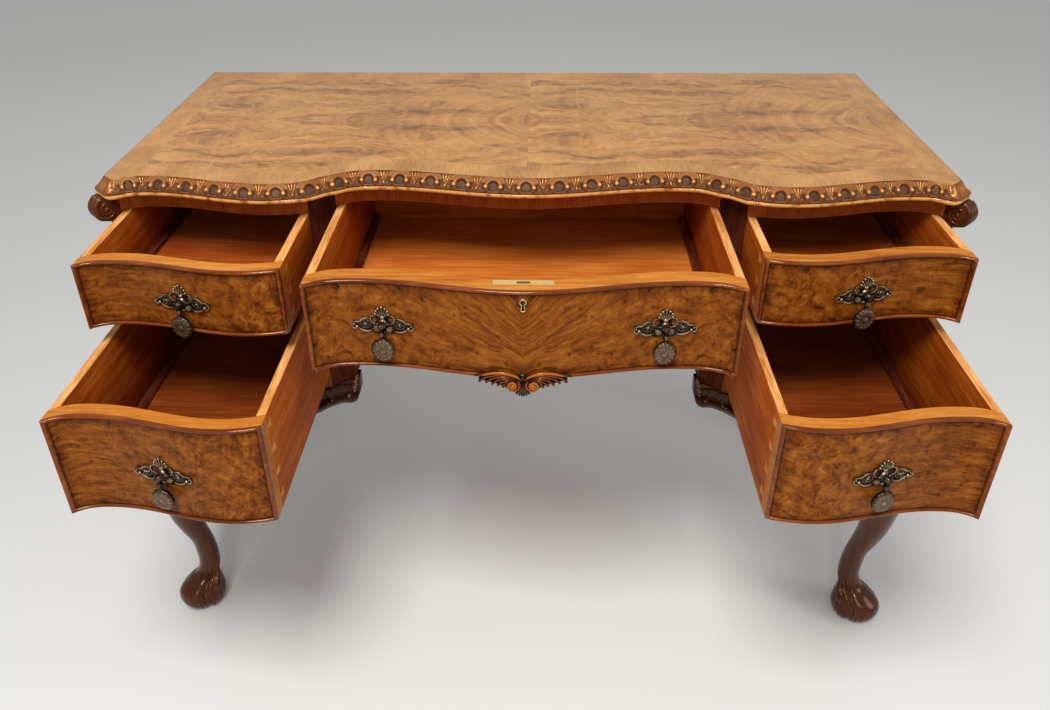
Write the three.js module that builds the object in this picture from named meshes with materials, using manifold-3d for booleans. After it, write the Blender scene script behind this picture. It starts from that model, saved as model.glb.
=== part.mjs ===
// Serpentine kneehole writing table with five drawers, on cabriole legs.
// Millimetres, +Z up, +X to the sitter's right, and the front faces -Y. Its drawers stand partly open.
import * as THREE from "three";
import { mergeVertices } from "three/addons/utils/BufferGeometryUtils.js";
import Module from "manifold-3d";

const wasm = await Module();
wasm.setup();

// Case
const tableHeight = 790;
const caseWidth = 1130;
const caseDepth = 478;
const friezeHeight = 25;
const friezeThickness = 36;
const sidePanelThickness = 16;
const kneeholeWidth = 520;
const innerStileWidth = 32;
const innerStileDepth = 44;
const stileFacing = 12;
const kneePanelThickness = 20;
const dividerHeight = 26;
const railDepth = 70;
const dustBoardThickness = 10;
const bottomBoardThickness = 22;
const guideHeight = 14;
const backPanelThickness = 8;
const cornerPostDepth = 46;
const runnerWidth = 24;
const runnerHeight = 14;

// Serpentine front: a hollow and a swell on each pedestal, a hollow either side of a swell in the centre
const pedestalHollow = 14.6;
const pedestalSwell = 11.3;
const pedestalLead = 2.5;
const pedestalHollowShare = 0.187;
const pedestalSwellShare = 0.795;
const centreSetback = 20.5;
const centreHollow = 18.5;
const centreSwell = 7;
const centreHollowShare = 0.25;
const stileBreakShare = 0.38;
const stileBreakRiseShare = 0.76;
const hornSteps = 6;
const swaySteps = 9;
const crestSteps = 4;

// Top and its carved edge
const topSideInset = 3;
const topFrontOverhang = 11;
const topBackOverhang = 7;
const topCant = 15;
const mouldingFlare = 15;
const mouldingDrop = 17;
const mouldingLip = 2;
const mouldingHollow = 2;
const beadHeight = 7;
const beadProjection = 11;
const beadSetback = 7;

// Drawers
const shortDrawerHeight = 90;
const deepDrawerHeight = 141;
const centreDrawerHeight = 121;
const shortFrontThickness = 22;
const centreFrontThickness = 27;
const drawerSideThickness = 11;
const drawerBackThickness = 10;
const drawerBackDrop = 8;
const drawerBottomThickness = 6;
const drawerBottomRise = 8;
const cockbeadWidth = 5;
const cockbeadProjection = 3;
const drawerGap = 1.5;
const drawerSideGap = 1;
const drawerBackGap = 16;

// How far each drawer stands open
const pulledTopLeft = 158;
const pulledTopRight = 121;
const pulledDeepLeft = 311;
const pulledDeepRight = 294;
const pulledCentre = 223;

// Legs, set out from a point by each corner of the case along its diagonal
const legInset = 2;
const legProud = 8.5;
const kneeSize = 100;
const ankleDiameter = 35;
const footLength = 90;
const footWidth = 68;
const footHeight = 60;
const legSides = 18;
const scrollRadius = 18;
const scrollWidth = 20;
const scrollTail = 62;
const scrollSeat = 1.2;
const scrollSteps = 14;

// Carved bracket under each pedestal
const bracketDepth = 24;
const bracketInnerProud = 8;
const bracketFall = 235;
const bracketKneeLap = 3;
const bracketKneeProud = 22;

// Handles
const plateWidth = 76;
const plateHeight = 40;
const plateThickness = 2.4;
const plateSteps = 8;
const postRadius = 4.5;
const postLength = 13;
const turnedSides = 10;
const stemRadius = 2.5;
const nutRadius = 6;
const nutThickness = 3;
const forkSlot = 3.4;
const forkDepth = 9;
const pivotSetback = 4.5;
const pinRadius = 1.2;
const tongueThickness = 2.8;
const tongueRadius = 3.2;
const collarRadius = 3.6;
const collarDrop = 6.8;
const collarLength = 5;
const discRadius = 14;
const discThickness = 8;
const discSides = 20;
const dropLength = 31;
const handleInset = 90;
const handleLevel = 46.5;
const deepHandleLevel = 72.5;
const centreHandleLevel = 57.5;

// Lock
const lockWidth = 62;
const lockHeight = 46;
const lockThickness = 11;
const selvedgeWidth = 72;
const selvedgeThickness = 2.5;
const boltWidth = 15;
const boltThickness = 5;
const boltHeight = 24;
const boltThrow = 9;
const keyholeLevel = 19;
const keyholeHeight = 13;
const keyholeWidth = 4.4;
const escutcheonHeight = 19;
const escutcheonWidth = 10;
const escutcheonDepth = 4;
const escutcheonProud = 0.6;

// Clearances, and the overrun of a cut
const fitGap = 0.3;
const boltGap = 0.5;
const pinGap = 0.25;
const overrun = 5;

// Levels
const friezeTop = tableHeight - mouldingDrop - beadHeight;
const friezeBottom = friezeTop - friezeHeight;
const drawerTop = friezeBottom - drawerGap;
const shortOpeningBottom = drawerTop - shortDrawerHeight - drawerGap;
const dividerBottom = shortOpeningBottom - dividerHeight;
const deepDrawerTop = dividerBottom - drawerGap;
const deepOpeningBottom = deepDrawerTop - deepDrawerHeight - drawerGap;
const centreOpeningBottom = drawerTop - centreDrawerHeight - drawerGap;
const caseBottom = deepOpeningBottom - bottomBoardThickness;

// Places across the front and back from it
const caseHalf = caseWidth / 2;
const cornerX = caseHalf - sidePanelThickness;
const stileInnerX = kneeholeWidth / 2;
const stileOuterX = stileInnerX + innerStileWidth;
const kneePanelX = stileInnerX + kneePanelThickness;
const shortInnerX = stileOuterX + drawerSideGap;
const shortOuterX = cornerX - drawerSideGap;
const centreDrawerHalf = stileInnerX - drawerSideGap;
const handleSpread = centreDrawerHalf - handleInset;
const backPanelFront = caseDepth - backPanelThickness;
const bracketInnerX = stileInnerX - bracketInnerProud;
const bracketReach = cornerX + bracketKneeLap - bracketInnerX;
const drawerBackY = backPanelFront - drawerBackGap;

// Plan curve of the front

function easeIn(share) {
  return 1 - (1 - share) ** 3;
}

function sway(share, from, to) {
  return from + ((to - from) * (1 - Math.cos(Math.PI * share))) / 2;
}

// y over one pedestal, from its outer corner at share 0 to its inner stile at share 1
function pedestalWave(share) {
  if (share < pedestalHollowShare) {
    return pedestalHollow * easeIn(share / pedestalHollowShare);
  }
  if (share < pedestalSwellShare) {
    const along = (share - pedestalHollowShare) / (pedestalSwellShare - pedestalHollowShare);
    return sway(along, pedestalHollow, -pedestalSwell);
  }
  const past = (share - pedestalSwellShare) / (1 - pedestalSwellShare);
  return -pedestalSwell + (pedestalSwell - pedestalLead) * past ** 2;
}

// y over half of the centre, from the stile at share 0 to the middle at share 1
function centreWave(share) {
  if (share < centreHollowShare) {
    return centreSetback + centreHollow * easeIn(share / centreHollowShare);
  }
  const along = (share - centreHollowShare) / (1 - centreHollowShare);
  return sway(along, centreSetback + centreHollow, centreSetback - centreSwell);
}

const stileBreakX = stileInnerX + innerStileWidth * stileBreakShare;
const stileBreakY = (centreSetback + pedestalLead) * stileBreakRiseShare - pedestalLead;

// y of the case's face at any x
function faceY(x) {
  const across = Math.abs(x);
  if (across >= stileOuterX) {
    return pedestalWave((cornerX - across) / (cornerX - stileOuterX));
  }
  if (across >= stileBreakX) {
    const along = (stileOuterX - across) / (stileOuterX - stileBreakX);
    return -pedestalLead + (stileBreakY + pedestalLead) * along;
  }
  if (across >= stileInnerX) {
    const along = (stileBreakX - across) / (stileBreakX - stileInnerX);
    return stileBreakY + (centreSetback - stileBreakY) * along;
  }
  return centreWave(1 - across / stileInnerX);
}

function faceSlope(x) {
  return Math.atan2(faceY(x + fitGap) - faceY(x - fitGap), fitGap * 2);
}

function spread(from, to, steps) {
  return Array.from({ length: steps + 1 }, (_, i) => from + ((to - from) * i) / steps);
}

// Every x at which a piece that follows the face has a point
function faceStations() {
  const centreHollowX = stileInnerX * (1 - centreHollowShare);
  const pedestalSpan = cornerX - stileOuterX;
  const swellX = cornerX - pedestalSpan * pedestalSwellShare;
  const hollowX = cornerX - pedestalSpan * pedestalHollowShare;
  const right = [
    ...spread(0, centreHollowX, swaySteps),
    ...spread(centreHollowX, stileInnerX, hornSteps).slice(1),
    stileBreakX,
    ...spread(stileOuterX, swellX, crestSteps),
    ...spread(swellX, hollowX, swaySteps).slice(1),
    ...spread(hollowX, cornerX, hornSteps).slice(1),
  ];
  const left = right.slice(1).map((x) => -x);
  return [...left.reverse(), ...right];
}

const stations = faceStations();

function stationsBetween(from, to) {
  return [from, ...stations.filter((x) => x > from + fitGap && x < to - fitGap), to];
}

// Plan outline between two x values, its front and its back both following the face
function bandOutline(from, to, lead, thickness) {
  const xs = stationsBetween(Math.min(from, to), Math.max(from, to));
  const front = xs.map((x) => [x, faceY(x) + lead]);
  const back = xs.map((x) => [x, faceY(x) + thickness]);
  return [...front, ...back.reverse()];
}

// Plan outline between two x values, its front following the face and its back straight
function boardOutline(from, to, lead, back) {
  const xs = stationsBetween(Math.min(from, to), Math.max(from, to));
  const front = xs.map((x) => [x, faceY(x) + lead]);
  return [...front, [Math.max(from, to), back], [Math.min(from, to), back]];
}

// Solids

function solidOf(geometry) {
  const bare = geometry.clone();
  bare.deleteAttribute("normal");
  bare.deleteAttribute("uv");
  const merged = mergeVertices(bare);
  return new wasm.Manifold(
    new wasm.Mesh({
      numProp: 3,
      vertProperties: new Float32Array(merged.attributes.position.array),
      triVerts: new Uint32Array(merged.index.array),
    }),
  );
}

function geometryOf(solid) {
  const made = solid.getMesh();
  const geometry = new THREE.BufferGeometry();
  geometry.setAttribute("position", new THREE.BufferAttribute(made.vertProperties, 3));
  geometry.setIndex(new THREE.BufferAttribute(made.triVerts, 1));
  return geometry;
}

function joined(...geometries) {
  return geometryOf(geometries.map(solidOf).reduce((whole, other) => whole.add(other)));
}

function cut(geometry, ...tools) {
  return geometryOf(tools.map(solidOf).reduce((left, tool) => left.subtract(tool), solidOf(geometry)));
}

function overlap(geometry, other) {
  return geometryOf(solidOf(geometry).intersect(solidOf(other)));
}

function block(x0, x1, y0, y1, z0, z1) {
  const geometry = new THREE.BoxGeometry(Math.abs(x1 - x0), y1 - y0, z1 - z0);
  return geometry.translate((x0 + x1) / 2, (y0 + y1) / 2, (z0 + z1) / 2);
}

// A plan outline raised from one level to another
function prism(outline, bottom, top) {
  const shape = new THREE.Shape(outline.map(([x, y]) => new THREE.Vector2(x, y)));
  const geometry = new THREE.ExtrudeGeometry(shape, { depth: top - bottom, bevelEnabled: false });
  return geometry.translate(0, 0, bottom);
}

// A shape drawn in x and z, carried from y0 back to y1
function elevation(shape, y0, y1, curveSegments) {
  const geometry = new THREE.ExtrudeGeometry(shape, {
    depth: y1 - y0,
    bevelEnabled: false,
    curveSegments,
  });
  return geometry.rotateX(Math.PI / 2).translate(0, y1, 0);
}

// A round rod along Y
function rod(radius, y0, y1, sides) {
  return new THREE.CylinderGeometry(radius, radius, y1 - y0, sides).translate(0, (y0 + y1) / 2, 0);
}

// A round rod along X, centred
function crossRod(radius, length) {
  return new THREE.CylinderGeometry(radius, radius, length, turnedSides).rotateZ(Math.PI / 2);
}

// A turned piece round the Y axis
function turned(profile, sides) {
  return new THREE.LatheGeometry(profile.map(([r, along]) => new THREE.Vector2(r, along)), sides);
}

function areaVector(ring) {
  const first = new THREE.Vector3().fromArray(ring[0]);
  const spokes = ring.slice(1).map((point) => new THREE.Vector3().fromArray(point).sub(first));
  const sum = new THREE.Vector3();
  for (let i = 0; i + 1 < spokes.length; i++) {
    sum.add(new THREE.Vector3().crossVectors(spokes[i], spokes[i + 1]));
  }
  return sum;
}

function signedVolume(points, faces) {
  const corner = (index) => new THREE.Vector3().fromArray(points[index]);
  return faces.reduce((sum, [i, j, k]) => sum + corner(i).dot(corner(j).cross(corner(k))), 0);
}

// A closed skin over rings of equal count, with a flat cap at each end
function loft(rings) {
  const count = rings[0].length;
  const points = rings.flat();
  const faces = [];
  for (let r = 0; r + 1 < rings.length; r++) {
    for (let i = 0; i < count; i++) {
      const a = r * count + i;
      const b = r * count + ((i + 1) % count);
      faces.push([a, b, b + count], [a, b + count, a + count]);
    }
  }
  const first = new THREE.Vector3().fromArray(rings[0][0]);
  const along = new THREE.Vector3().fromArray(rings[0][1]).sub(first).normalize();
  const across = areaVector(rings[0]).cross(along).normalize();
  const flat = rings[0].map((point) => {
    const offset = new THREE.Vector3().fromArray(point).sub(first);
    return new THREE.Vector2(offset.dot(along), offset.dot(across));
  });
  const last = (rings.length - 1) * count;
  for (const [i, j, k] of THREE.ShapeUtils.triangulateShape(flat, [])) {
    faces.push([i, k, j], [last + i, last + j, last + k]);
  }
  const outward = signedVolume(points, faces) > 0;
  const geometry = new THREE.BufferGeometry();
  geometry.setAttribute("position", new THREE.Float32BufferAttribute(points.flat(), 3));
  geometry.setIndex(faces.flatMap(([i, j, k]) => (outward ? [i, j, k] : [i, k, j])));
  return geometry;
}

// Finishes
const figuredWalnut = { color: 0xc08a4c, roughness: 0.35, metalness: 0 };
const burrWalnut = { color: 0x8f5520, roughness: 0.35, metalness: 0 };
const carvedWalnut = { color: 0x6b3a1c, roughness: 0.4, metalness: 0 };
const caseWalnut = { color: 0x5f2f17, roughness: 0.4, metalness: 0 };
const legWalnut = { color: 0x3d1c10, roughness: 0.3, metalness: 0 };
const mahogany = { color: 0x9c5226, roughness: 0.5, metalness: 0 };
const agedBronze = { color: 0x4f463b, roughness: 0.4, metalness: 0.9 };
const brass = { color: 0xb99a55, roughness: 0.35, metalness: 0.9 };

function piece(name, geometry, finish) {
  const mesh = new THREE.Mesh(geometry, new THREE.MeshStandardMaterial(finish));
  mesh.name = name;
  return mesh;
}

// Top

const topHalf = caseHalf - topSideInset;
const topBack = caseDepth + topBackOverhang;

// The top's upper edge, from its back left corner round the front to its back right corner
function topEdgeLine() {
  const half = topHalf - topCant;
  const front = stations.map((x) => [(x / cornerX) * half, faceY(x) - topFrontOverhang]);
  const cantEnd = topCant - topFrontOverhang;
  return [[-topHalf, topBack], [-topHalf, cantEnd], ...front, [topHalf, cantEnd], [topHalf, topBack]];
}

// An open line moved outwards by a distance, mitred at its corners and square at its ends
function moved(line, distance) {
  const normals = line.slice(1).map(([x, y], i) => {
    const [fromX, fromY] = line[i];
    const length = Math.hypot(x - fromX, y - fromY);
    return [(y - fromY) / length, (fromX - x) / length];
  });
  return line.map(([x, y], i) => {
    const [ax, ay] = normals[Math.max(i - 1, 0)];
    const [bx, by] = normals[Math.min(i, normals.length - 1)];
    const grow = distance / (1 + ax * bx + ay * by);
    return [x + (ax + bx) * grow, y + (ay + by) * grow];
  });
}

function topPanel() {
  return piece("top_panel", prism(moved(topEdgeLine(), -fitGap), friezeTop, tableHeight), figuredWalnut);
}

// Flaring band over a bead, carried round the front and both sides
function topEdgeMoulding() {
  const bandBottom = friezeTop + beadHeight;
  const lipTop = bandBottom + mouldingLip;
  const section = [
    [0, tableHeight],
    [mouldingFlare / 2 - mouldingHollow, (tableHeight + lipTop) / 2 - mouldingHollow],
    [mouldingFlare, lipTop],
    [mouldingFlare, bandBottom],
    [beadSetback, bandBottom],
    [beadProjection, friezeTop + beadHeight / 2],
    [beadSetback, friezeTop],
    [0, friezeTop],
  ];
  const line = topEdgeLine();
  const rails = section.map(([out, z]) => moved(line, out).map(([x, y]) => [x, y, z]));
  const rings = line.map((_, i) => rails.map((rail) => rail[i]));
  return piece("top_edge_moulding", loft(rings), carvedWalnut);
}

// Case

// The shaped stile's facing, which stands in front of the frieze rail; the margin grows it for a cut
function stileFront(side, margin, bottom, top) {
  const xs = [stileInnerX - margin, stileBreakX, stileOuterX + margin].map((x) => side * x);
  const lead = margin > 0 ? overrun : 0;
  const front = xs.map((x) => [x, faceY(x) - lead]);
  const back = xs.map((x) => [x, faceY(x) + stileFacing + margin]);
  return prism([...front, ...back.reverse()], bottom, top);
}

function lockY() {
  return faceY(0) + centreFrontThickness - fitGap - lockThickness / 2;
}

// The rail under the top, notched for both stiles and mortised for the lock's bolt
function friezeRail() {
  const half = cornerX - fitGap;
  const rail = prism(bandOutline(-half, half, 0, friezeThickness), friezeBottom, friezeTop - fitGap);
  const notches = [-1, 1].map((side) =>
    stileFront(side, fitGap, friezeBottom - overrun, friezeTop + overrun),
  );
  const mortiseHalf = boltWidth / 2 + boltGap * 2;
  const mortiseReach = boltThickness / 2 + boltGap * 2;
  const mortise = block(
    -mortiseHalf,
    mortiseHalf,
    lockY() - mortiseReach,
    lockY() + mortiseReach,
    friezeBottom - overrun,
    friezeBottom + boltThrow + boltGap,
  );
  return piece("frieze_rail", cut(rail, ...notches, mortise), caseWalnut);
}

function sidePanel(name, side) {
  const front = cornerPostDepth + fitGap;
  const top = friezeTop - fitGap;
  const panel = block(side * cornerX, side * caseHalf, front, caseDepth, caseBottom, top);
  return piece(name, panel, caseWalnut);
}

// The pedestal's kneehole side, with the shaped stile on its front edge
function kneePanel(name, side) {
  const inner = side * stileInnerX;
  const outer = side * kneePanelX;
  const top = friezeTop - fitGap;
  const railClear = centreSetback + friezeThickness + fitGap;
  const back = backPanelFront - fitGap;
  const post = boardOutline(inner, side * stileOuterX, 0, innerStileDepth);
  return piece(
    name,
    joined(
      prism(post, caseBottom, friezeBottom - fitGap),
      stileFront(side, 0, caseBottom, top),
      block(inner, outer, innerStileDepth - overrun, back, caseBottom, friezeBottom - fitGap),
      block(inner, outer, railClear, back, friezeBottom - overrun, top),
    ),
    caseWalnut,
  );
}

// One sheet across both pedestals, cut away behind the kneehole
function backPanel() {
  const half = cornerX - fitGap;
  const kneeholeTop = centreOpeningBottom - runnerHeight;
  const outline = [
    [-half, caseBottom],
    [-stileInnerX, caseBottom],
    [-stileInnerX, kneeholeTop],
    [stileInnerX, kneeholeTop],
    [stileInnerX, caseBottom],
    [half, caseBottom],
    [half, friezeTop - fitGap],
    [-half, friezeTop - fitGap],
  ];
  const rings = [backPanelFront, caseDepth].map((y) => outline.map(([x, z]) => [x, y, z]));
  return piece("back_panel", loft(rings), caseWalnut);
}

// A rail and board across one pedestal, with the strip that guides the drawer above
function pedestalBoard(side, railBottom, boardBottom, top) {
  const outer = side * (cornerX - fitGap);
  const inner = side * (kneePanelX + fitGap);
  const front = innerStileDepth + fitGap;
  const back = backPanelFront - fitGap;
  const rail = boardOutline(side * (stileOuterX + fitGap), outer, 0, railDepth);
  return joined(
    prism(rail, railBottom, top),
    block(inner, outer, front, back, boardBottom, top),
    block(inner, side * stileOuterX, front, back, boardBottom, top + guideHeight),
  );
}

function drawerDivider(name, side) {
  const boardBottom = shortOpeningBottom - dustBoardThickness;
  const board = pedestalBoard(side, dividerBottom, boardBottom, shortOpeningBottom);
  return piece(name, board, caseWalnut);
}

function pedestalBottom(name, side) {
  return piece(name, pedestalBoard(side, caseBottom, caseBottom, deepOpeningBottom), caseWalnut);
}

// Strip on the kneehole panel that carries the centre drawer
function centreRunner(name, side) {
  const inner = side * (stileInnerX - runnerWidth);
  const outer = side * (stileInnerX - fitGap);
  const top = centreOpeningBottom;
  const back = backPanelFront - fitGap;
  const strip = block(inner, outer, innerStileDepth, back, top - runnerHeight, top);
  return piece(name, strip, mahogany);
}

// Legs

// Knee: height above the foot as a share of the rise, then outer reach, inner reach and half width
// as shares of the knee's size, and the power of its rounded square
const kneeShares = [
  [1, -0.02, -1.17, 0.594, 1.12],
  [0.96, 0.08, -1.1, 0.58, 1.15],
  [0.9, 0.2, -0.85, 0.55, 1.25],
  [0.86, 0.3, -0.6, 0.5, 1.4],
  [0.733, 0.44, -0.38, 0.42, 1.6],
  [0.607, 0.43, -0.26, 0.35, 1.8],
  [0.48, 0.37, -0.2, 0.29, 2],
];
// Shank: height share, middle as a share of the knee's size, girth as a share of the ankle's
const shankShares = [
  [0.354, 0.05, 1.32],
  [0.265, -0.03, 1.14],
  [0.184, -0.12, 1],
  [0.109, -0.155, 1],
  [0.04, -0.15, 1],
];
// Foot: height share, outer and inner reach as shares of its length, half width share, power
const footShares = [
  [1, 0.11, -0.306, 0.272, 2],
  [0.83, 0.31, -0.311, 0.37, 2],
  [0.63, 0.53, -0.333, 0.44, 2.1],
  [0.33, 0.57, -0.344, 0.47, 2.2],
  [0.1, 0.53, -0.3, 0.44, 2.2],
  [0, 0.46, -0.222, 0.38, 2.2],
];

// Rings of the leg from top to floor: height, outer reach, inner reach, half width, power
function legRows() {
  const rise = caseBottom - fitGap - footHeight;
  const knee = kneeShares.map(([height, outer, inner, half, power]) => [
    footHeight + rise * height,
    kneeSize * outer,
    kneeSize * inner,
    kneeSize * half,
    power,
  ]);
  const shank = shankShares.map(([height, middle, girth]) => {
    const radius = (ankleDiameter / 2) * girth;
    const centre = kneeSize * middle;
    return [footHeight + rise * height, centre + radius, centre - radius, radius, 2];
  });
  const foot = footShares.map(([height, outer, inner, half, power]) => [
    footHeight * height,
    footLength * outer,
    footLength * inner,
    footWidth * half,
    power,
  ]);
  return [...knee, ...shank, ...foot];
}

// The leg's skin along the diagonal of its corner; a margin grows it and carries it up for a cut
function legSkin(side, facing, margin) {
  const startX = caseHalf - legInset;
  const startY = facing < 0 ? -legProud : caseDepth + legProud;
  const rows = legRows();
  if (margin > 0) {
    const [top, ...ring] = rows[0];
    rows.unshift([top + overrun, ...ring]);
  }
  const rings = rows.map(([z, outer, inner, half, power]) =>
    Array.from({ length: legSides }, (_, i) => {
      const turn = (2 * Math.PI * i) / legSides;
      const across = Math.cos(turn);
      const aside = Math.sin(turn);
      const reach = (outer - inner) / 2 + margin;
      const u = (outer + inner) / 2 + reach * Math.sign(across) * Math.abs(across) ** (2 / power);
      const v = (half + margin) * Math.sign(aside) * Math.abs(aside) ** (2 / power);
      return [
        side * (startX + (u + v) * Math.SQRT1_2),
        startY + facing * (u - v) * Math.SQRT1_2,
        z,
      ];
    }),
  );
  return loft(rings);
}

// Canted post above the front leg, between the side panel and the drawer fronts
function cornerPost(side) {
  const outline = [
    [cornerX, 0],
    [caseHalf, sidePanelThickness],
    [caseHalf, cornerPostDepth],
    [cornerX, cornerPostDepth],
  ].map(([x, y]) => [side * x, y]);
  return prism(outline, caseBottom - overrun, friezeTop - fitGap);
}

// Scroll at the head of the post, its tail running down the cant
function cornerScroll(side) {
  const middle = friezeTop - fitGap - scrollRadius;
  const shape = new THREE.Shape();
  shape.moveTo(-scrollSeat, middle - scrollTail);
  for (const turn of spread(-Math.PI / 4, Math.PI / 2, scrollSteps)) {
    const out = scrollRadius * (1 + Math.cos(turn)) - scrollSeat;
    shape.lineTo(out, middle + scrollRadius * Math.sin(turn));
  }
  shape.lineTo(-scrollSeat, middle + scrollRadius);
  const scroll = elevation(shape, -scrollWidth / 2, scrollWidth / 2);
  scroll.rotateZ(side > 0 ? -Math.PI / 4 : (-Math.PI * 3) / 4);
  const cantMiddle = sidePanelThickness / 2;
  return scroll.translate(side * (cornerX + cantMiddle), cantMiddle, 0);
}

function frontLeg(name, side) {
  const whole = joined(legSkin(side, -1, 0), cornerPost(side), cornerScroll(side));
  return piece(name, whole, legWalnut);
}

function backLeg(name, side) {
  return piece(name, legSkin(side, 1, 0), legWalnut);
}

// Bracket's lower edge from its inner scroll to the knee: share of its reach, share of its fall
const bracketEdgeShares = [
  [0, 0.114],
  [0.012, 0.143],
  [0.037, 0.16],
  [0.085, 0.16],
  [0.125, 0.173],
  [0.165, 0.207],
  [0.217, 0.241],
  [0.26, 0.271],
  [0.427, 0.382],
  [0.593, 0.501],
  [0.743, 0.629],
  [0.86, 0.769],
  [0.943, 0.939],
  [1, 1],
];
const bracketTurnShare = 0.55;

function bracket(name, side) {
  const top = caseBottom - fitGap;
  const rings = bracketEdgeShares.map(([along, fall]) => {
    const across = bracketInnerX + bracketReach * along;
    const turn = Math.max(0, (along - bracketTurnShare) / (1 - bracketTurnShare));
    const face = faceY(Math.min(Math.max(across, stileInnerX), cornerX));
    const foot = face - bracketKneeProud * turn ** 2;
    const low = top - bracketFall * fall;
    return [
      [side * across, face, top],
      [side * across, foot, low],
      [side * across, foot + bracketDepth, low],
      [side * across, face + bracketDepth, top],
    ];
  });
  return piece(name, cut(loft(rings), legSkin(side, -1, fitGap * 2)), legWalnut);
}

// Handles

// Half of the pierced plate's outline, from its peak to its foot
const plateEdgeShares = [
  [0, 0.56],
  [0.09, 0.46],
  [0.17, 0.36],
  [0.25, 0.4],
  [0.34, 0.27],
  [0.46, 0.25],
  [0.6, 0.24],
  [0.72, 0.2],
  [0.84, 0.12],
  [0.95, 0.1],
  [1, 0],
  [0.93, -0.12],
  [0.8, -0.09],
  [0.66, -0.14],
  [0.52, -0.2],
  [0.38, -0.23],
  [0.26, -0.28],
  [0.15, -0.38],
  [0.07, -0.36],
];
// Piercings: place across, place up, half width, half height
const piercingShares = [
  [0.22, 0.02, 0.075, 0.11],
  [0.78, 0.03, 0.05, 0.06],
];
const piercingSegments = 3;

function plateShape(x, z) {
  const half = plateWidth / 2;
  const right = plateEdgeShares.map(([across, up]) => [across * half, up * plateHeight]);
  const left = right.slice(1).map(([across, up]) => [-across, up]);
  const edge = [...right, ...left.reverse()];
  const shape = new THREE.Shape(edge.map(([across, up]) => new THREE.Vector2(x + across, z + up)));
  for (const [across, up, wide, high] of piercingShares) {
    for (const side of [-1, 1]) {
      const hole = new THREE.Path();
      const middle = x + side * across * half;
      const level = z + up * plateHeight;
      hole.absellipse(middle, level, wide * half, high * plateHeight, 0, Math.PI * 2, false, 0);
      shape.holes.push(hole);
    }
  }
  return shape;
}

// The plate, cut from a slab that lies along the curved front
function handlePlate(x, z) {
  const half = plateWidth / 2 + overrun;
  const xs = spread(x - half, x + half, plateSteps);
  const front = xs.map((at) => [at, faceY(at) - fitGap - plateThickness]);
  const back = xs.map((at) => [at, faceY(at) - fitGap]);
  const slab = prism([...front, ...back.reverse()], z - plateHeight, z + plateHeight);
  const pattern = elevation(
    plateShape(x, z),
    faceY(x) - plateWidth,
    faceY(x) + plateWidth,
    piercingSegments,
  );
  return overlap(slab, pattern);
}

// Moves a piece made at the middle of a flat front to stand square on the curve at x
function setSquare(geometry, x, z) {
  return geometry.rotateZ(faceSlope(x)).translate(x, faceY(x), z);
}

// Forked post, the stem through the drawer front and the nut behind it, with the drop's pin
function postSet(x, thickness) {
  const plateFace = -fitGap - plateThickness;
  const postEnd = plateFace - postLength;
  const nutFace = thickness * Math.cos(faceSlope(x)) + fitGap * 2;
  const solid = joined(
    rod(postRadius, postEnd, -fitGap - plateThickness / 2, turnedSides),
    rod(stemRadius, plateFace, nutFace + nutThickness / 2, turnedSides),
    rod(nutRadius, nutFace, nutFace + nutThickness, turnedSides / 2),
  );
  const slot = block(
    -forkSlot / 2,
    forkSlot / 2,
    postEnd - overrun,
    postEnd + forkDepth,
    -postRadius - overrun,
    postRadius + overrun,
  );
  const pin = crossRod(pinRadius, postRadius * Math.SQRT2).translate(0, postEnd + pivotSetback, 0);
  return joined(cut(solid, slot), pin);
}

function platePiece(name, x, z, thickness) {
  const whole = joined(handlePlate(x, z), setSquare(postSet(x, thickness), x, z));
  return piece(name, whole, agedBronze);
}

// Hanging drop: an eye on the pin, a collar and a round disc
function dropPiece(name, x, z) {
  const stem = collarRadius / 2;
  const collarFoot = -collarDrop - collarLength;
  const stemFoot = discRadius / 2 - dropLength;
  const collar = turned(
    [
      [0, stemFoot],
      [stem, stemFoot],
      [stem, collarFoot],
      [collarRadius, collarFoot + collarLength / 2],
      [stem, -collarDrop],
      [0, -collarDrop],
    ],
    turnedSides,
  ).rotateX(Math.PI / 2);
  const half = tongueThickness / 2;
  const neck = block(-half, half, -stem, stem, -collarDrop - collarLength / 2, 0);
  const eye = crossRod(pinRadius + pinGap, tongueThickness + overrun);
  const rim = discRadius - discThickness / 5;
  const disc = turned(
    [
      [0, -discThickness / 2],
      [rim, -discThickness / 2],
      [discRadius, -discThickness / 4],
      [discRadius, discThickness / 4],
      [rim, discThickness / 2],
      [0, discThickness / 2],
    ],
    discSides,
  ).translate(0, 0, -dropLength);
  const tongue = cut(joined(crossRod(tongueRadius, tongueThickness), neck), eye);
  const drop = piece(name, joined(tongue, collar, disc), agedBronze);
  drop.position.y = pivotSetback - postLength - plateThickness - fitGap;
  const group = new THREE.Group();
  group.add(drop);
  group.position.set(x, faceY(x), z);
  group.rotation.z = faceSlope(x);
  return group;
}

function handle(name, x, z, thickness) {
  return [platePiece(`${name}_handle_plate`, x, z, thickness), dropPiece(`${name}_handle_drop`, x, z)];
}

function stemHole(x, z, thickness) {
  return setSquare(rod(stemRadius + fitGap * 2, -overrun, thickness + overrun, turnedSides), x, z);
}

// Drawers

// A shaped front with a cockbead standing proud all round it
function drawerFront(x0, x1, bottom, top, thickness, holes) {
  const slab = prism(bandOutline(x0, x1, -cockbeadProjection, thickness), bottom, top);
  const inside = bandOutline(x0 + cockbeadWidth, x1 - cockbeadWidth, -cockbeadProjection - overrun, 0);
  const sunk = prism(inside, bottom + cockbeadWidth, top - cockbeadWidth);
  return cut(slab, sunk, ...holes);
}

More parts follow.
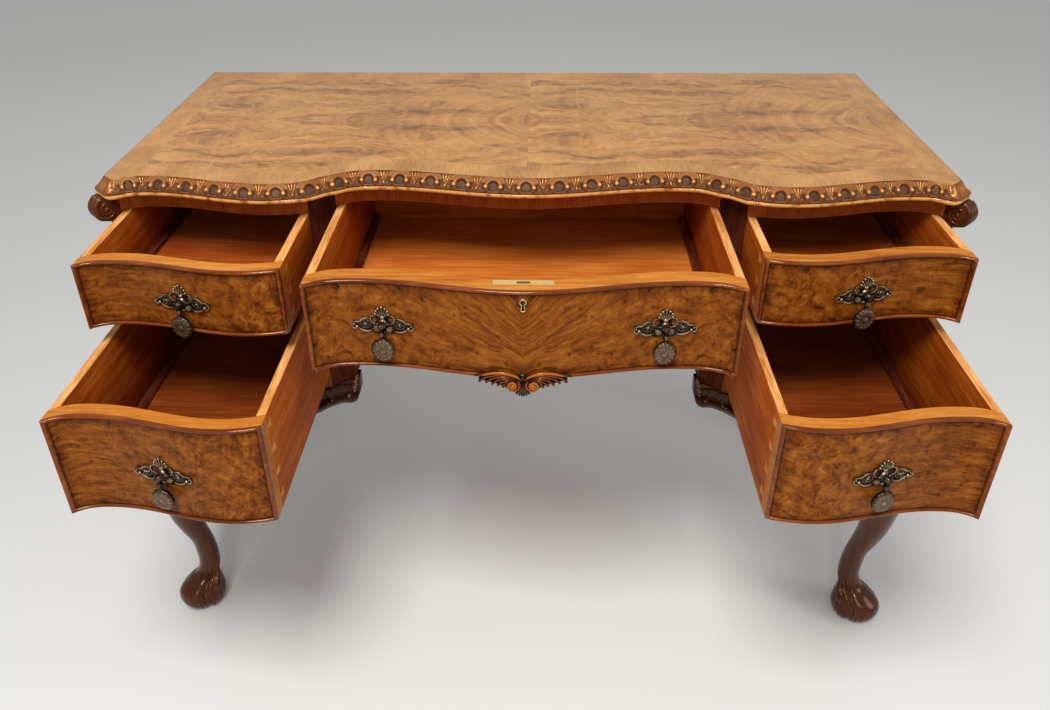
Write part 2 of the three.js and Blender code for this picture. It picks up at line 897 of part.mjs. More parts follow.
function drawer(name, { x0, x1, bottom, top, thickness, pulled, holes, hardware }) {
  const group = new THREE.Group();
  const sideBottom = bottom - drawerGap + fitGap;
  const leftX = x0 + drawerSideThickness;
  const rightX = x1 - drawerSideThickness;
  const floor = sideBottom + drawerBottomRise;
  const floorTop = floor + drawerBottomThickness;
  const lead = thickness + fitGap;
  const left = boardOutline(x0, leftX, lead, drawerBackY);
  const right = boardOutline(rightX, x1, lead, drawerBackY);
  const inside = boardOutline(leftX + fitGap, rightX - fitGap, lead, drawerBackY);
  const back = block(
    leftX + fitGap,
    rightX - fitGap,
    drawerBackY - drawerBackThickness,
    drawerBackY,
    floorTop + fitGap,
    top - drawerBackDrop,
  );
  group.add(
    piece(`${name}_front`, drawerFront(x0, x1, bottom, top, thickness, holes), burrWalnut),
    piece(`${name}_left_side`, prism(left, sideBottom, top), mahogany),
    piece(`${name}_right_side`, prism(right, sideBottom, top), mahogany),
    piece(`${name}_back`, back, mahogany),
    piece(`${name}_bottom`, prism(inside, floor, floorTop), mahogany),
    ...hardware,
  );
  group.position.y = -pulled;
  return group;
}

function pedestalDrawer(name, side, top, height, level, pulled) {
  const ends = [side * shortInnerX, side * shortOuterX];
  const x = (ends[0] + ends[1]) / 2;
  const z = top - level;
  const thickness = shortFrontThickness;
  return drawer(`${name}_drawer`, {
    x0: Math.min(...ends),
    x1: Math.max(...ends),
    bottom: top - height,
    top,
    thickness,
    pulled,
    holes: [stemHole(x, z, thickness)],
    hardware: handle(name, x, z, thickness),
  });
}

// Lock of the centre drawer

// Keyhole with a round head and a narrower slot below
function keyholePath(path, z) {
  const head = keyholeWidth / 2;
  const slot = keyholeWidth / 4;
  const low = z - keyholeHeight / 2;
  path.moveTo(-slot, low);
  path.lineTo(slot, low);
  path.absarc(0, z + keyholeHeight / 2 - head, head, -Math.PI / 3, (Math.PI * 4) / 3, false);
  path.closePath();
  return path;
}

function ovalShape(z, margin) {
  const shape = new THREE.Shape();
  const wide = escutcheonWidth / 2 + margin;
  const high = escutcheonHeight / 2 + margin;
  shape.absellipse(0, z, wide, high, 0, Math.PI * 2, false, 0);
  return shape;
}

const ovalSegments = 8;

function lockHoles(top) {
  const z = top - keyholeLevel;
  const y = faceY(0);
  const front = lockY() - lockThickness / 2 - fitGap;
  const back = y + centreFrontThickness + overrun;
  const caseReach = lockWidth / 2 + fitGap;
  const plateReach = selvedgeWidth / 2 + fitGap;
  return [
    elevation(keyholePath(new THREE.Shape(), z), y - overrun, back, ovalSegments),
    elevation(ovalShape(z, fitGap), y - overrun, y + escutcheonDepth + fitGap, ovalSegments),
    block(-caseReach, caseReach, front, back, top - lockHeight - fitGap, top + overrun),
    block(-plateReach, plateReach, front, back, top - selvedgeThickness - fitGap, top + overrun),
  ];
}

function lockPieces(top) {
  const y = lockY();
  const near = y - lockThickness / 2;
  const far = y + lockThickness / 2;
  const body = joined(
    block(-lockWidth / 2, lockWidth / 2, near, far, top - lockHeight, top - selvedgeThickness / 2),
    block(-selvedgeWidth / 2, selvedgeWidth / 2, near, far, top - selvedgeThickness, top),
  );
  const boltTop = top - fitGap;
  const boltFoot = boltTop - boltHeight;
  const slotHalf = boltWidth / 2 + boltGap;
  const slotReach = boltThickness / 2 + boltGap;
  const slot = block(
    -slotHalf,
    slotHalf,
    y - slotReach,
    y + slotReach,
    boltFoot - boltGap,
    top + overrun,
  );
  const half = boltThickness / 2;
  const bolt = block(-boltWidth / 2, boltWidth / 2, y - half, y + half, boltFoot, boltTop);
  const oval = ovalShape(top - keyholeLevel, 0);
  oval.holes.push(keyholePath(new THREE.Path(), top - keyholeLevel));
  const face = faceY(0);
  const escutcheon = elevation(oval, face - escutcheonProud, face + escutcheonDepth, ovalSegments);
  return [
    piece("lock_case", cut(body, slot), brass),
    piece("lock_bolt", bolt, brass),
    piece("keyhole_escutcheon", escutcheon, brass),
  ];
}

function centreDrawer() {
  const z = drawerTop - centreHandleLevel;
  const thickness = centreFrontThickness;
  return drawer("centre_drawer", {
    x0: -centreDrawerHalf,
    x1: centreDrawerHalf,
    bottom: drawerTop - centreDrawerHeight,
    top: drawerTop,
    thickness,
    pulled: pulledCentre,
    holes: [
      ...[-handleSpread, handleSpread].map((x) => stemHole(x, z, thickness)),
      ...lockHoles(drawerTop),
    ],
    hardware: [
      ...handle("centre_left", -handleSpread, z, thickness),
      ...handle("centre_right", handleSpread, z, thickness),
      ...lockPieces(drawerTop),
    ],
  });
}

// The whole table, its plan centred on the origin as it stands with its drawers open
const table = new THREE.Group();
table.add(topPanel(), topEdgeMoulding(), friezeRail(), backPanel());
for (const [name, side] of [["left", -1], ["right", 1]]) {
  table.add(
    sidePanel(`${name}_side_panel`, side),
    kneePanel(`${name}_kneehole_panel`, side),
    drawerDivider(`${name}_drawer_divider`, side),
    pedestalBottom(`${name}_pedestal_bottom`, side),
    centreRunner(`${name}_centre_runner`, side),
    bracket(`${name}_bracket`, side),
    frontLeg(`front_${name}_leg`, side),
    backLeg(`rear_${name}_leg`, side),
  );
}
table.add(
  pedestalDrawer("top_left", -1, drawerTop, shortDrawerHeight, handleLevel, pulledTopLeft),
  pedestalDrawer("top_right", 1, drawerTop, shortDrawerHeight, handleLevel, pulledTopRight),
  pedestalDrawer("lower_left", -1, deepDrawerTop, deepDrawerHeight, deepHandleLevel, pulledDeepLeft),
  pedestalDrawer("lower_right", 1, deepDrawerTop, deepDrawerHeight, deepHandleLevel, pulledDeepRight),
  centreDrawer(),
);
const bounds = new THREE.Box3().setFromObject(table);
table.position.y = -(bounds.min.y + bounds.max.y) / 2;

export default table;
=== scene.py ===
# A serpentine kneehole writing table in walnut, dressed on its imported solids.
# Metres, +Z up; the sitter faces the drawers from -Y.
import math
from contextlib import contextmanager

import bpy
import numpy as np
from mathutils import Matrix, Vector


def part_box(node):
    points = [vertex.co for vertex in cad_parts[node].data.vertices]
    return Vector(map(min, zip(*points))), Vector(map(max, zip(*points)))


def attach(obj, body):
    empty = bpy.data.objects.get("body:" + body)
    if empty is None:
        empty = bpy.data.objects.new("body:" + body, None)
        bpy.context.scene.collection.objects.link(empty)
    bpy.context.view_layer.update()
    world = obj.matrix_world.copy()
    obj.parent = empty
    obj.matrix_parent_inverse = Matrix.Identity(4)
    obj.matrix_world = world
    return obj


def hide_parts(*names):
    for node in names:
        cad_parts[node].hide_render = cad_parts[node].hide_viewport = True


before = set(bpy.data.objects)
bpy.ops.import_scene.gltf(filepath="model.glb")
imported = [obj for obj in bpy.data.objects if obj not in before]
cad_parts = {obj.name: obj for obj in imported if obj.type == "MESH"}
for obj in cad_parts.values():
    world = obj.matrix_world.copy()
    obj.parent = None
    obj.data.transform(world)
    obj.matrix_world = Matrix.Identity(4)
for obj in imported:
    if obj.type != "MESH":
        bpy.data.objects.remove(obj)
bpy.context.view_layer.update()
mm = 0.001

# The photograph's camera, worked out from the top's corners and the drawer fronts.
# It stands in front of the table, a little right of its middle, and looks down at 32 degrees.
camera_place = Vector((0.0196, -1.2140, 1.2458))
camera_yaw, camera_pitch, camera_roll = -0.0371, 0.5670, 0.0086
camera_focal_px = 905.4
frame_width_px = 1050

look = Vector((
    math.sin(camera_yaw) * math.cos(camera_pitch),
    math.cos(camera_yaw) * math.cos(camera_pitch),
    -math.sin(camera_pitch),
))
level_right = Vector((math.cos(camera_yaw), -math.sin(camera_yaw), 0))
level_up = level_right.cross(look)
camera_right = math.cos(camera_roll) * level_right - math.sin(camera_roll) * level_up
camera_up = math.sin(camera_roll) * level_right + math.cos(camera_roll) * level_up
bpy.ops.object.camera_add()
camera = bpy.context.object
camera_turn = Matrix((camera_right, camera_up, -look)).transposed().to_4x4()
camera.matrix_world = Matrix.Translation(camera_place) @ camera_turn
camera.data.sensor_width = 36
camera.data.lens = camera_focal_px / frame_width_px * camera.data.sensor_width
camera.data.shift_x = 0.0132
camera.data.shift_y = -0.0123
camera.data.clip_start = 0.05
camera.data.clip_end = 40
bpy.context.scene.camera = camera
bpy.context.scene.view_settings.view_transform = "Standard"


# Node work: one function sets a node's inputs, and one adds a node and hands back its output.
def srgb(hex_colour):
    parts = [int(hex_colour[i : i + 2], 16) / 255 for i in (1, 3, 5)]
    linear = [c / 12.92 if c <= 0.04045 else ((c + 0.055) / 1.055) ** 2.4 for c in parts]
    return (*linear, 1)


def wire(node, values):
    """Writes constants on a node's sockets and links outputs to them."""
    for key, value in values.items():
        if isinstance(value, bpy.types.NodeSocket):
            node.id_data.links.new(value, node.inputs[key])
        else:
            node.inputs[key].default_value = value


def add(tree, kind, values=None, stops=(), output=None, **settings):
    """Adds a shader node and returns its named output, or else the first one in use."""
    made = tree.nodes.new("ShaderNode" + kind)
    for name, value in settings.items():
        setattr(made, name, value)
    wire(made, values or {})
    for i, (place, shade) in enumerate(stops):
        elements = made.color_ramp.elements
        stop = elements[i] if i < 2 else elements.new(place)
        stop.position = place
        stop.color = srgb(shade) if isinstance(shade, str) else (shade, shade, shade, 1)
    return made.outputs[output] if output else next((o for o in made.outputs if o.enabled), None)


def new_material(name):
    """An empty material: itself, its node tree and the shader that the tree ends in."""
    material = bpy.data.materials.new(name)
    material.use_nodes = True
    tree = material.node_tree
    tree.nodes.clear()
    finish = add(tree, "BsdfPrincipled")
    add(tree, "OutputMaterial", {"Surface": finish})
    return material, tree, finish.node


# A pale floor and soft studio light: one broad lamp above and before the table, a small one in front
# of it that reaches into the drawers, and a wide one at its right. All aim at the table's middle.
studio, tree, shader = new_material("studio_floor")
wire(shader, {"Base Color": srgb("#d9d8d4"), "Roughness": 0.9})
bpy.ops.mesh.primitive_plane_add(size=24, location=(0, 3, 0))
floor = bpy.context.object
floor.name = "studio_floor"
floor.data.materials.append(studio)
table_middle = Vector((0, 0, 0.45))

for name, place, size, power in (
    ("key_lamp", (-0.3, -1.55, 2.85), 0.9, 80),
    ("front_lamp", (-0.15, -2.9, 1.9), 0.4, 11),
    ("right_lamp", (2.8, -0.9, 1.7), 1.2, 16),
):
    bpy.ops.object.light_add(type="AREA", location=place)
    lamp = bpy.context.object
    lamp.name = name
    lamp.data.size = size
    lamp.data.energy = power
    lamp.rotation_euler = (table_middle - Vector(place)).to_track_quat("-Z", "Y").to_euler()

world = bpy.data.worlds.new("studio_air")
bpy.context.scene.world = world
world.use_nodes = True
wire(world.node_tree.nodes["Background"], {"Color": srgb("#eef0f2"), "Strength": 0.55})

# The table's front is one serpentine line, and every front piece is sawn to it.
# Each pedestal has a hollow and a swell, and the centre steps back between them.
case_shift = 101.726 * mm
stile_outer, stile_break, stile_inner = 292 * mm, 272.16 * mm, 260 * mm
corner_x = 549 * mm


def shut_face(x):
    """y of the case's face over x, in millimetres from the line through its outer corners."""
    across = abs(x)
    # A pedestal's front from its corner inwards: a hollow, a swell, and the last turn to the stile.
    if across >= stile_outer:
        share = max(corner_x - across, 0) / (corner_x - stile_outer)
        if share < 0.187:
            return 14.6 * (1 - (1 - share / 0.187) ** 3)
        if share < 0.795:
            return 14.6 - 25.9 * (1 - math.cos(math.pi * (share - 0.187) / 0.608)) / 2
        return -11.3 + 8.8 * ((share - 0.795) / 0.205) ** 2
    # The stile: a steep face back to its break, and a flatter one to its inner edge.
    if across >= stile_break:
        return -2.5 + 17.48 * (stile_outer - across) / (stile_outer - stile_break)
    if across >= stile_inner:
        return 14.98 + 5.52 * (stile_break - across) / (stile_break - stile_inner)
    # The centre drawer's front: a hollow beside the stile and a wide swell over the kneehole.
    share = 1 - across / stile_inner
    if share < 0.25:
        return 20.5 + 18.5 * (1 - (1 - share / 0.25) ** 3)
    return 39 - 25.5 * (1 - math.cos(math.pi * (share - 0.25) / 0.75)) / 2


def face_y(x):
    """y of the case's face over each x, in the frame."""
    return np.vectorize(shut_face, otypes=[float])(x) * mm - case_shift


def points_of(piece):
    """The points of a piece in its own space, one row each."""
    flat = np.zeros(len(piece.data.vertices) * 3)
    piece.data.vertices.foreach_get("co", flat)
    return flat.reshape(-1, 3)


def shaped_grid(columns, rows, place):
    """A flat grid primitive, its point in column i and row j then set to place(i, j)."""
    bpy.ops.mesh.primitive_grid_add(x_subdivisions=columns, y_subdivisions=rows, size=2)
    piece = bpy.context.object
    flat = points_of(piece)
    i = np.rint((flat[:, 0] + 1) / 2 * columns).astype(int)
    j = np.rint((flat[:, 1] + 1) / 2 * rows).astype(int)
    piece.data.vertices.foreach_set("co", np.stack(place(i, j), -1).ravel())
    piece.data.update()
    return piece, i, j


def pick(piece):
    """Makes a piece the only one selected and the active one."""
    bpy.ops.object.select_all(action="DESELECT")
    piece.select_set(True)
    bpy.context.view_layer.objects.active = piece


@contextmanager
def editing(piece):
    """Holds a piece in edit mode, with all of it selected at the start."""
    pick(piece)
    bpy.ops.object.mode_set(mode="EDIT")
    bpy.ops.mesh.select_all(action="SELECT")
    yield
    bpy.ops.object.mode_set(mode="OBJECT")


def apply_modifier(piece, kind, **settings):
    """Gives a piece one modifier with its settings and applies it."""
    pick(piece)
    modifier = piece.modifiers.new(kind.lower(), kind)
    for name, value in settings.items():
        setattr(modifier, name, value)
    bpy.ops.object.modifier_apply(modifier=modifier.name)


def close_seams(piece, gap=0.02 * mm):
    """Merges doubled points, fills what is open and turns the faces outwards."""
    with editing(piece):
        bpy.ops.mesh.remove_doubles(threshold=gap)
        bpy.ops.mesh.fill_holes(sides=0)
        bpy.ops.mesh.select_all(action="SELECT")
        bpy.ops.mesh.normals_make_consistent(inside=False)


def settle(piece, name, body, slot, *materials, angle=40):
    """Names a finished piece, puts its place in its mesh, and gives it its materials and its body."""
    pick(piece)
    bpy.ops.object.transform_apply()
    bpy.ops.object.shade_smooth_by_angle(angle=math.radians(angle))
    piece.name = name
    for material in materials:
        piece.data.materials.append(material)
    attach(piece, body)
    return piece


# The top: a board veneered in four slip-matched panels of figured walnut inside a crossbanded border.
# The border's grain runs across it and is mitred at the corners. French polished to a satin.
top_z, top_foot_z = 790 * mm, 766 * mm
top_half, top_cant = 562 * mm, 15 * mm
top_back = 485 * mm - case_shift
border = 42 * mm
arris_lead = 11 * mm
case_to_arris = 549 / 547
panel_joint = 0.132


def arris_y(x):
    """y of the top's front edge over x."""
    return face_y(x * case_to_arris) - arris_lead


def stirred_by(tree, vector, scale, detail, reach):
    """The vector pushed about by soft noise, by up to half the reach to either side."""
    noise = add(tree, "TexNoise", {"Vector": vector, "Scale": scale, "Detail": detail}, output="Color")
    push = add(tree, "VectorMath", {0: noise, 1: (0.5, 0.5, 0.5)}, operation="SUBTRACT")
    push = add(tree, "VectorMath", {0: push, 3: reach}, operation="SCALE")
    return add(tree, "VectorMath", {0: push, 1: vector}, operation="ADD")


def streaks(tree, vector, per_metre, turn=(0, 0, 0), **noise):
    """Noise drawn out into streaks, with so many in a metre along each axis."""
    drawn = add(tree, "Mapping", {"Vector": vector, "Scale": per_metre, "Rotation": turn})
    return add(tree, "TexNoise", {"Vector": drawn, "Scale": 1, **noise})


top_material, tree, shader = new_material("figured_walnut")
place = add(tree, "TexCoord", output="Object")
along_x, along_y, along_z = add(tree, "SeparateXYZ", {0: place}).node.outputs
slipped = add(tree, "Math", {0: along_x, 1: top_half - border, 2: 0.0}, operation="WRAP")
book = add(tree, "Math", {0: along_y, 1: -panel_joint}, operation="ADD")
book = add(tree, "Math", {0: book}, operation="ABSOLUTE")
matched = add(tree, "CombineXYZ", {0: slipped, 1: book, 2: along_z})
stirred = stirred_by(tree, matched, 9, 3, 0.16)
# Growth rings curl round the far end of each panel, about 9 mm apart, and fade out 0.3 m from it.
slightly = add(tree, "Mix", {0: 0.3, 4: matched, 5: stirred}, data_type="VECTOR")
curl = add(tree, "VectorMath", {0: slightly, 1: (0.545, 0, 0.79)}, operation="DISTANCE")
rings = add(tree, "Math", {0: curl, 1: 1 / 0.009}, operation="MULTIPLY")
rings = add(tree, "CombineXYZ", {0: rings})
rings = add(tree, "TexNoise", {"Vector": rings, "Scale": 0.7, "Detail": 4, "Roughness": 0.6})
near_curl = add(tree, "MapRange", {0: curl, 1: 0.08, 2: 0.3, 3: 0.45, 4: 0.04})
long_streak = streaks(tree, stirred, (3.4, 26, 1), (0, 0, 0.2), Scale=1.5, Detail=8, Roughness=0.66)
mottle = add(tree, "TexNoise", {"Vector": stirred, "Scale": 60, "Detail": 9, "Roughness": 0.74})
figure = add(tree, "Mix", {0: 0.42, 2: long_streak, 3: mottle}, data_type="FLOAT")
figure = add(tree, "Mix", {0: near_curl, 2: figure, 3: rings}, data_type="FLOAT")
# Dark flames, a hand long and 20 mm wide, lie slantwise in the panels.
flame = streaks(tree, slightly, (5, 24, 1), (0, 0, -0.3), Detail=5, Roughness=0.6)
flame = add(tree, "MapRange", {0: flame, 1: 0.55, 2: 0.7, 3: 0, 4: -0.075})
figure = add(tree, "Math", {0: figure, 1: flame}, operation="ADD")
field = add(
    tree, "ValToRGB", {0: figure},
    stops=((0.34, "#5c3816"), (0.62, "#c49052"), (0.42, "#885a2a"), (0.5, "#ab773c")),
)
# Crossband: fine lines about 2.5 mm apart across the border, read along its own UV.
band_uv = add(tree, "UVMap", uv_map="border")
fibre = streaks(tree, band_uv, (400, 14, 1), Detail=4, Roughness=0.55)
wide = streaks(tree, band_uv, (16, 3, 1), Detail=3)
fibre = add(tree, "Mix", {0: 0.6, 2: fibre, 3: wide}, data_type="FLOAT")
band_tones = ((0.36, "#92622e"), (0.62, "#bd8a4e"), (0.5, "#aa783e"))
band = add(tree, "ValToRGB", {0: fibre}, stops=band_tones)
in_border = add(tree, "Attribute", attribute_name="crossband", output="Fac")
veneer = add(tree, "Mix", {0: in_border, 6: field, 7: band}, data_type="RGBA")
pores = streaks(tree, stirred, (110, 700, 1), Detail=2)
pores = add(tree, "ValToRGB", {0: pores}, stops=((0.3, 0.86), (0.44, 1.0)))
veneer = add(tree, "Mix", {0: 1.0, 6: veneer, 7: pores}, data_type="RGBA", blend_type="MULTIPLY")
haze = add(tree, "TexNoise", {"Vector": place, "Scale": 5, "Detail": 3})
haze = add(tree, "MapRange", {0: haze, 3: 0.3, 4: 0.4})
wire(shader, {"Base Color": veneer, "Roughness": haze, "Specular IOR Level": 0.3})
wire(shader, {"Coat Weight": 0.15, "Coat Roughness": 0.3})

end_column, front_row = 160, 9
seam = 0.2 * mm
inner_x, outer_x = top_half - border, top_half - seam
inner_stations = np.linspace(-inner_x, inner_x, end_column - 1)


def top_points(i, j):
    """Rows from the back: edge, border line, field, border line, mitre row, front edge; columns across."""
    x_inner = inner_stations[np.clip(i - 1, 0, end_column - 2)]
    ends = (i == 0) | (i == end_column)
    side = np.where(i == 0, -1, 1)
    front_edge = arris_y(x_inner) + seam
    front_line = front_edge + border
    x = np.where(ends & (j < front_row), side * outer_x, x_inner)
    x = np.where(ends & (j == front_row), side * (top_half - top_cant - seam), x)
    back_line = top_back - border
    mitre_row = front_row - 1
    y = np.select(
        [j == 0, j < mitre_row, j == mitre_row, j == front_row],
        [
            np.full(i.shape, top_back),
            back_line + (front_line - back_line) * (j - 1) / (mitre_row - 2),
            np.where(ends, top_cant - arris_lead - case_shift, front_line),
            np.where(ends, seam - arris_lead - case_shift, front_edge),
        ],
    )
    return x, y, np.full(i.shape, top_z)


top, i, j = shaped_grid(end_column, front_row, top_points)
uv = top.data.uv_layers.new(name="border")
banded = top.data.attributes.new("crossband", "FLOAT", "CORNER")
for face in top.data.polygons:
    columns = {int(i[v]) for v in face.vertices}
    rows = {int(j[v]) for v in face.vertices}
    at_end = 0 in columns or end_column in columns
    at_side = at_end and min(rows) > 0 and max(rows) < front_row
    for loop in face.loop_indices:
        point = top.data.vertices[top.data.loops[loop].vertex_index].co
        uv.data[loop].uv = (point.y, point.x) if at_side else (point.x, point.y)
        banded.data[loop].value = float(at_end or min(rows) == 0 or max(rows) == front_row)
with editing(top):
    bpy.ops.mesh.remove_doubles(threshold=0.02 * mm)
    bpy.ops.mesh.flip_normals()
apply_modifier(top, "SOLIDIFY", thickness=top_z - top_foot_z, offset=-1)
settle(top, "top_board", "case", "figured_walnut", top_material)
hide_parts("top_panel")


# The carved edge: one length of solid walnut moulding glued round the front and both sides.
# Round-headed hollows stand between sheaves of leaf, over a plain astragal bead. The tone follows the carved
# height:
# the ground and its grooves are painted dark, as painted shade as well as old polish and dust, and the high
# points are painted light, as painted highlights as well as rubbed wood.
def relief_toned_material(name, attribute, scale, detail, share, stops):
    """A material whose tone follows a relief number on the mesh, broken up by a share of fine noise."""
    material, tree, shader = new_material(name)
    relief = add(tree, "Attribute", attribute_name=attribute, output="Fac")
    place = add(tree, "TexCoord", output="Object")
    noise = add(tree, "TexNoise", {"Vector": place, "Scale": scale, "Detail": detail})
    level = add(tree, "Math", {0: noise, 1: share, 2: relief}, operation="MULTIPLY_ADD")
    wire(shader, {"Base Color": add(tree, "ValToRGB", {0: level}, stops=stops)})
    return material, tree, shader, relief, noise


def mark(piece, name, values):
    """Keeps one number for each point of a piece under the name that its material reads."""
    piece.data.attributes.new(name, "FLOAT", "POINT").data.foreach_set("value", values)


carving_shade_and_highlight_tones = ((0.1, "#1c0c06"), (1.2, "#cc8c4c"), (0.3, "#5c3a26"), (0.66, "#6e3d18"), (0.95, "#8a521c"))
carved, tree, shader, depth, _ = relief_toned_material("carved_walnut", "relief", 90, 4, 0.3, carving_shade_and_highlight_tones)
polish = add(tree, "MapRange", {0: depth, 1: 0.66, 2: 0.8, 3: 0.6, 4: 0.12})
wire(shader, {"Roughness": polish, "Specular IOR Level": 0.4, "Specular Tint": srgb("#ffe4c8")})

carve_pitch = 42 * mm
slope_length = 21.2


def edge_path(step):
    """The arris from its back left end round to its back right end, and the motifs passed at each point."""
    side_y = np.linspace(top_back, top_cant - arris_lead - case_shift, int((top_back + case_shift) / step))
    front_x = np.linspace(-(top_half - top_cant), top_half - top_cant, int(2 * top_half / step))
    left = np.stack([np.full(side_y.shape, -top_half), side_y], -1)
    front = np.stack([front_x, arris_y(front_x)], -1)
    right_side = left[::-1] * (-1, 1)
    cant = np.linspace(0, 1, int(22 * mm / step) + 1)[1:-1, None]
    left_cant = left[-1] + (front[0] - left[-1]) * cant
    right_cant = front[-1] + (right_side[0] - front[-1]) * cant
    path = np.concatenate([left, left_cant, front, right_cant, right_side])
    gone = np.concatenate([[0], np.cumsum(np.hypot(*np.diff(path, axis=0).T))])
    front_start = len(left) + len(left_cant)
    cant_start, cant_end, whole = gone[len(left) - 1], gone[front_start], gone[-1]
    break_at = np.interp(-stile_break / case_to_arris, front_x, gone[front_start:][: len(front_x)])
    knots = [0, cant_start, cant_end, break_at]
    knots += [whole - at for at in knots[::-1]]
    side_motifs = round(cant_start / carve_pitch)
    motifs = np.cumsum([0, side_motifs, 1, 7, 13, 7, 1, side_motifs])
    return path, np.interp(gone, knots, motifs), (side_motifs, side_motifs + 1, motifs[-1])


def outward(path, step):
    """Unit normals of the path, eased over a few millimetres so that its kinks can be offset."""
    run = np.gradient(path, axis=0)
    normal = np.stack([run[:, 1], -run[:, 0]], -1)
    normal /= np.hypot(*normal.T)[:, None]
    reach = int(4.5 * mm / step)
    kernel = np.hanning(2 * reach + 3)[1:-1]
    padded = np.pad(normal, ((reach, reach), (0, 0)), mode="edge")
    eased = np.stack([np.convolve(padded[:, k], kernel / kernel.sum(), "valid") for k in (0, 1)], -1)
    return eased / np.hypot(*eased.T)[:, None]


def bump(distance, half_width):
    """A rounded ridge: 1 on its line, 0 from its half width outwards."""
    return np.clip(1 - (distance / half_width) ** 2, 0, 1) ** 0.75


def carving(motif, down, leaf):
    """Height of the carving in millimetres over its motif count and the distance down the slope."""
    arch, spring, ground = 9.2, 12.2, -1.9
    phase = motif - np.floor(motif)
    from_arch = np.abs(phase - 0.5) * carve_pitch / mm
    from_sheaf = (0.5 - np.abs(phase - 0.5)) * carve_pitch / mm
    # The ground, with a groove cut along both sides of each arch.
    crown = np.hypot(from_arch, (down - spring) * 1.1)
    limb = 1.7 + 1.5 * np.clip(from_arch / arch, 0, 1) ** 2
    groove = bump(np.abs(crown - arch) - limb - 0.5, 1.1)
    height = ground - 1.1 * groove * ((down > 8) | (crown < arch))

    def raise_to(level, share):
        return np.maximum(height, np.where(share > 0, ground + (level - ground) * share, -9))

    # The shoulders over the arch, the arch and its limbs, and a ball at the foot of each limb.
    shoulder = np.clip((crown - 9.0) / 0.6, 0, 1) * np.clip((9.4 - down) / 1.6, 0, 1)
    height = raise_to(0.1, shoulder)
    height = raise_to(0.5, bump(crown - arch, limb) * (down < spring))
    limb_end = np.clip((15 - down) / 2, 0, 1)
    height = raise_to(0.3, bump(from_arch - arch, 3.2) * (down >= spring) * limb_end)
    height = raise_to(1.6, bump(np.hypot(from_arch - 9.6, (down - 12.9) * 0.9), 3.5))
    # The sheaf: flutes that spread upwards, a small ball at each side of its foot, and a wavy tie under it.
    sheaf_foot = 19.6
    spread = 0.9 + 0.075 * np.clip(sheaf_foot - down, 0, 20) ** 1.6
    share = from_sheaf / spread
    flutes = -1.2 + 2.1 * np.abs(np.cos(share * math.pi * 1.8)) ** 0.8
    flutes -= np.clip((2.8 - down) / 1.8, 0, 1) * 1.3
    in_sheaf = (share < 1.1) & (down > 1.3) & (down < sheaf_foot)
    height = np.where(in_sheaf, np.maximum(flutes, -1.4), height)
    height = raise_to(0.6, bump(np.hypot(from_sheaf - 4.4, (down - 16.4) * 1.2), 2.6))
    height = raise_to(-0.7, bump(down - 18.7 + 0.9 * np.cos(phase * 2 * math.pi), 0.7))
    # On the canted corners a broad ribbed leaf takes the place of arch and sheaf.
    swell = np.sin(np.clip(down / slope_length, 0, 1) * math.pi) ** 0.5
    rib = -1.4 + 2.2 * np.abs(np.cos((phase - 0.5) * math.pi * 4)) ** 0.7 * swell
    height = np.where(leaf, rib, height)
    fillet = np.clip(np.minimum(down, slope_length - down) / 1.1, 0, 1)
    return height * fillet + 0.1


step = 0.8 * mm
path, motif, (first_leaf, after_leaf, last_motif) = edge_path(step)
normal = outward(path, step)
left_leaf = (motif >= first_leaf) & (motif < after_leaf)
right_leaf = (motif <= last_motif - first_leaf) & (motif > last_motif - after_leaf)
is_leaf = left_leaf | right_leaf
slope_rows = 30
down = np.linspace(0, slope_length, slope_rows + 1)
# The section: distance out from the arris and height in millimetres, and the way in which relief raises it.
slant = 0.7071
section = [(slant * d, 790 - slant * d, slant, slant) for d in down]
section += [(15.2, 774.3, 1, 0), (14.6, 773.4, 0, 0), (9.5, 773.3, 0, 0)]
bead_turn = np.linspace(math.pi * 0.42, -math.pi * 0.5, 11)
section += [(9.8 + 4.8 * math.cos(a), 769.9 + 3.9 * math.sin(a), 0, 0) for a in bead_turn]
section += [(0, 766, 0, 0), (0, 789.9, 0, 0)]
section = np.array(section)
hollow_out = np.zeros(len(section))
hollow_out[: slope_rows + 1] = -1.1 * np.sin(np.linspace(0, math.pi, slope_rows + 1))
for name, low, high in (
    ("left_edge_moulding", 0, first_leaf),
    ("front_edge_moulding", first_leaf, last_motif - first_leaf),
    ("right_edge_moulding", last_motif - first_leaf, last_motif),
):
    use = np.flatnonzero((motif >= low - 1e-9) & (motif <= high + 1e-9))

    def carved_height(i, j):
        return carving(motif[use[i]], down[np.minimum(j, slope_rows)], is_leaf[use[i]])

    def moulding_points(i, j):
        at = use[i]
        carve = np.where(j <= slope_rows, carved_height(i, j) + hollow_out[j], 0)
        out, level, lean_out, lean_up = section[j].T
        out = out + carve * lean_out
        level = level + carve * lean_up
        x = path[at, 0] + normal[at, 0] * out * mm
        y = path[at, 1] + normal[at, 1] * out * mm
        return x, y, level * mm

    strip, i, j = shaped_grid(len(use) - 1, len(section) - 1, moulding_points)
    # The tone number: painted shade on the deep ground and grooves and painted highlights on the high points;
    # the lip under the carving takes a middle tone, and the bead and the back a light one.
    shade = np.where(j <= slope_rows, np.clip((carved_height(i, j) + 2.0) / 3.4, 0, 1), 0.85)
    shade = np.where((j > slope_rows) & (section[j][:, 1] > 773), 0.45, shade)
    mark(strip, "relief", shade)
    close_seams(strip)
    settle(strip, name, "case", "carved_walnut", carved, angle=70)
    if name == "front_edge_moulding":
        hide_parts("top_edge_moulding")


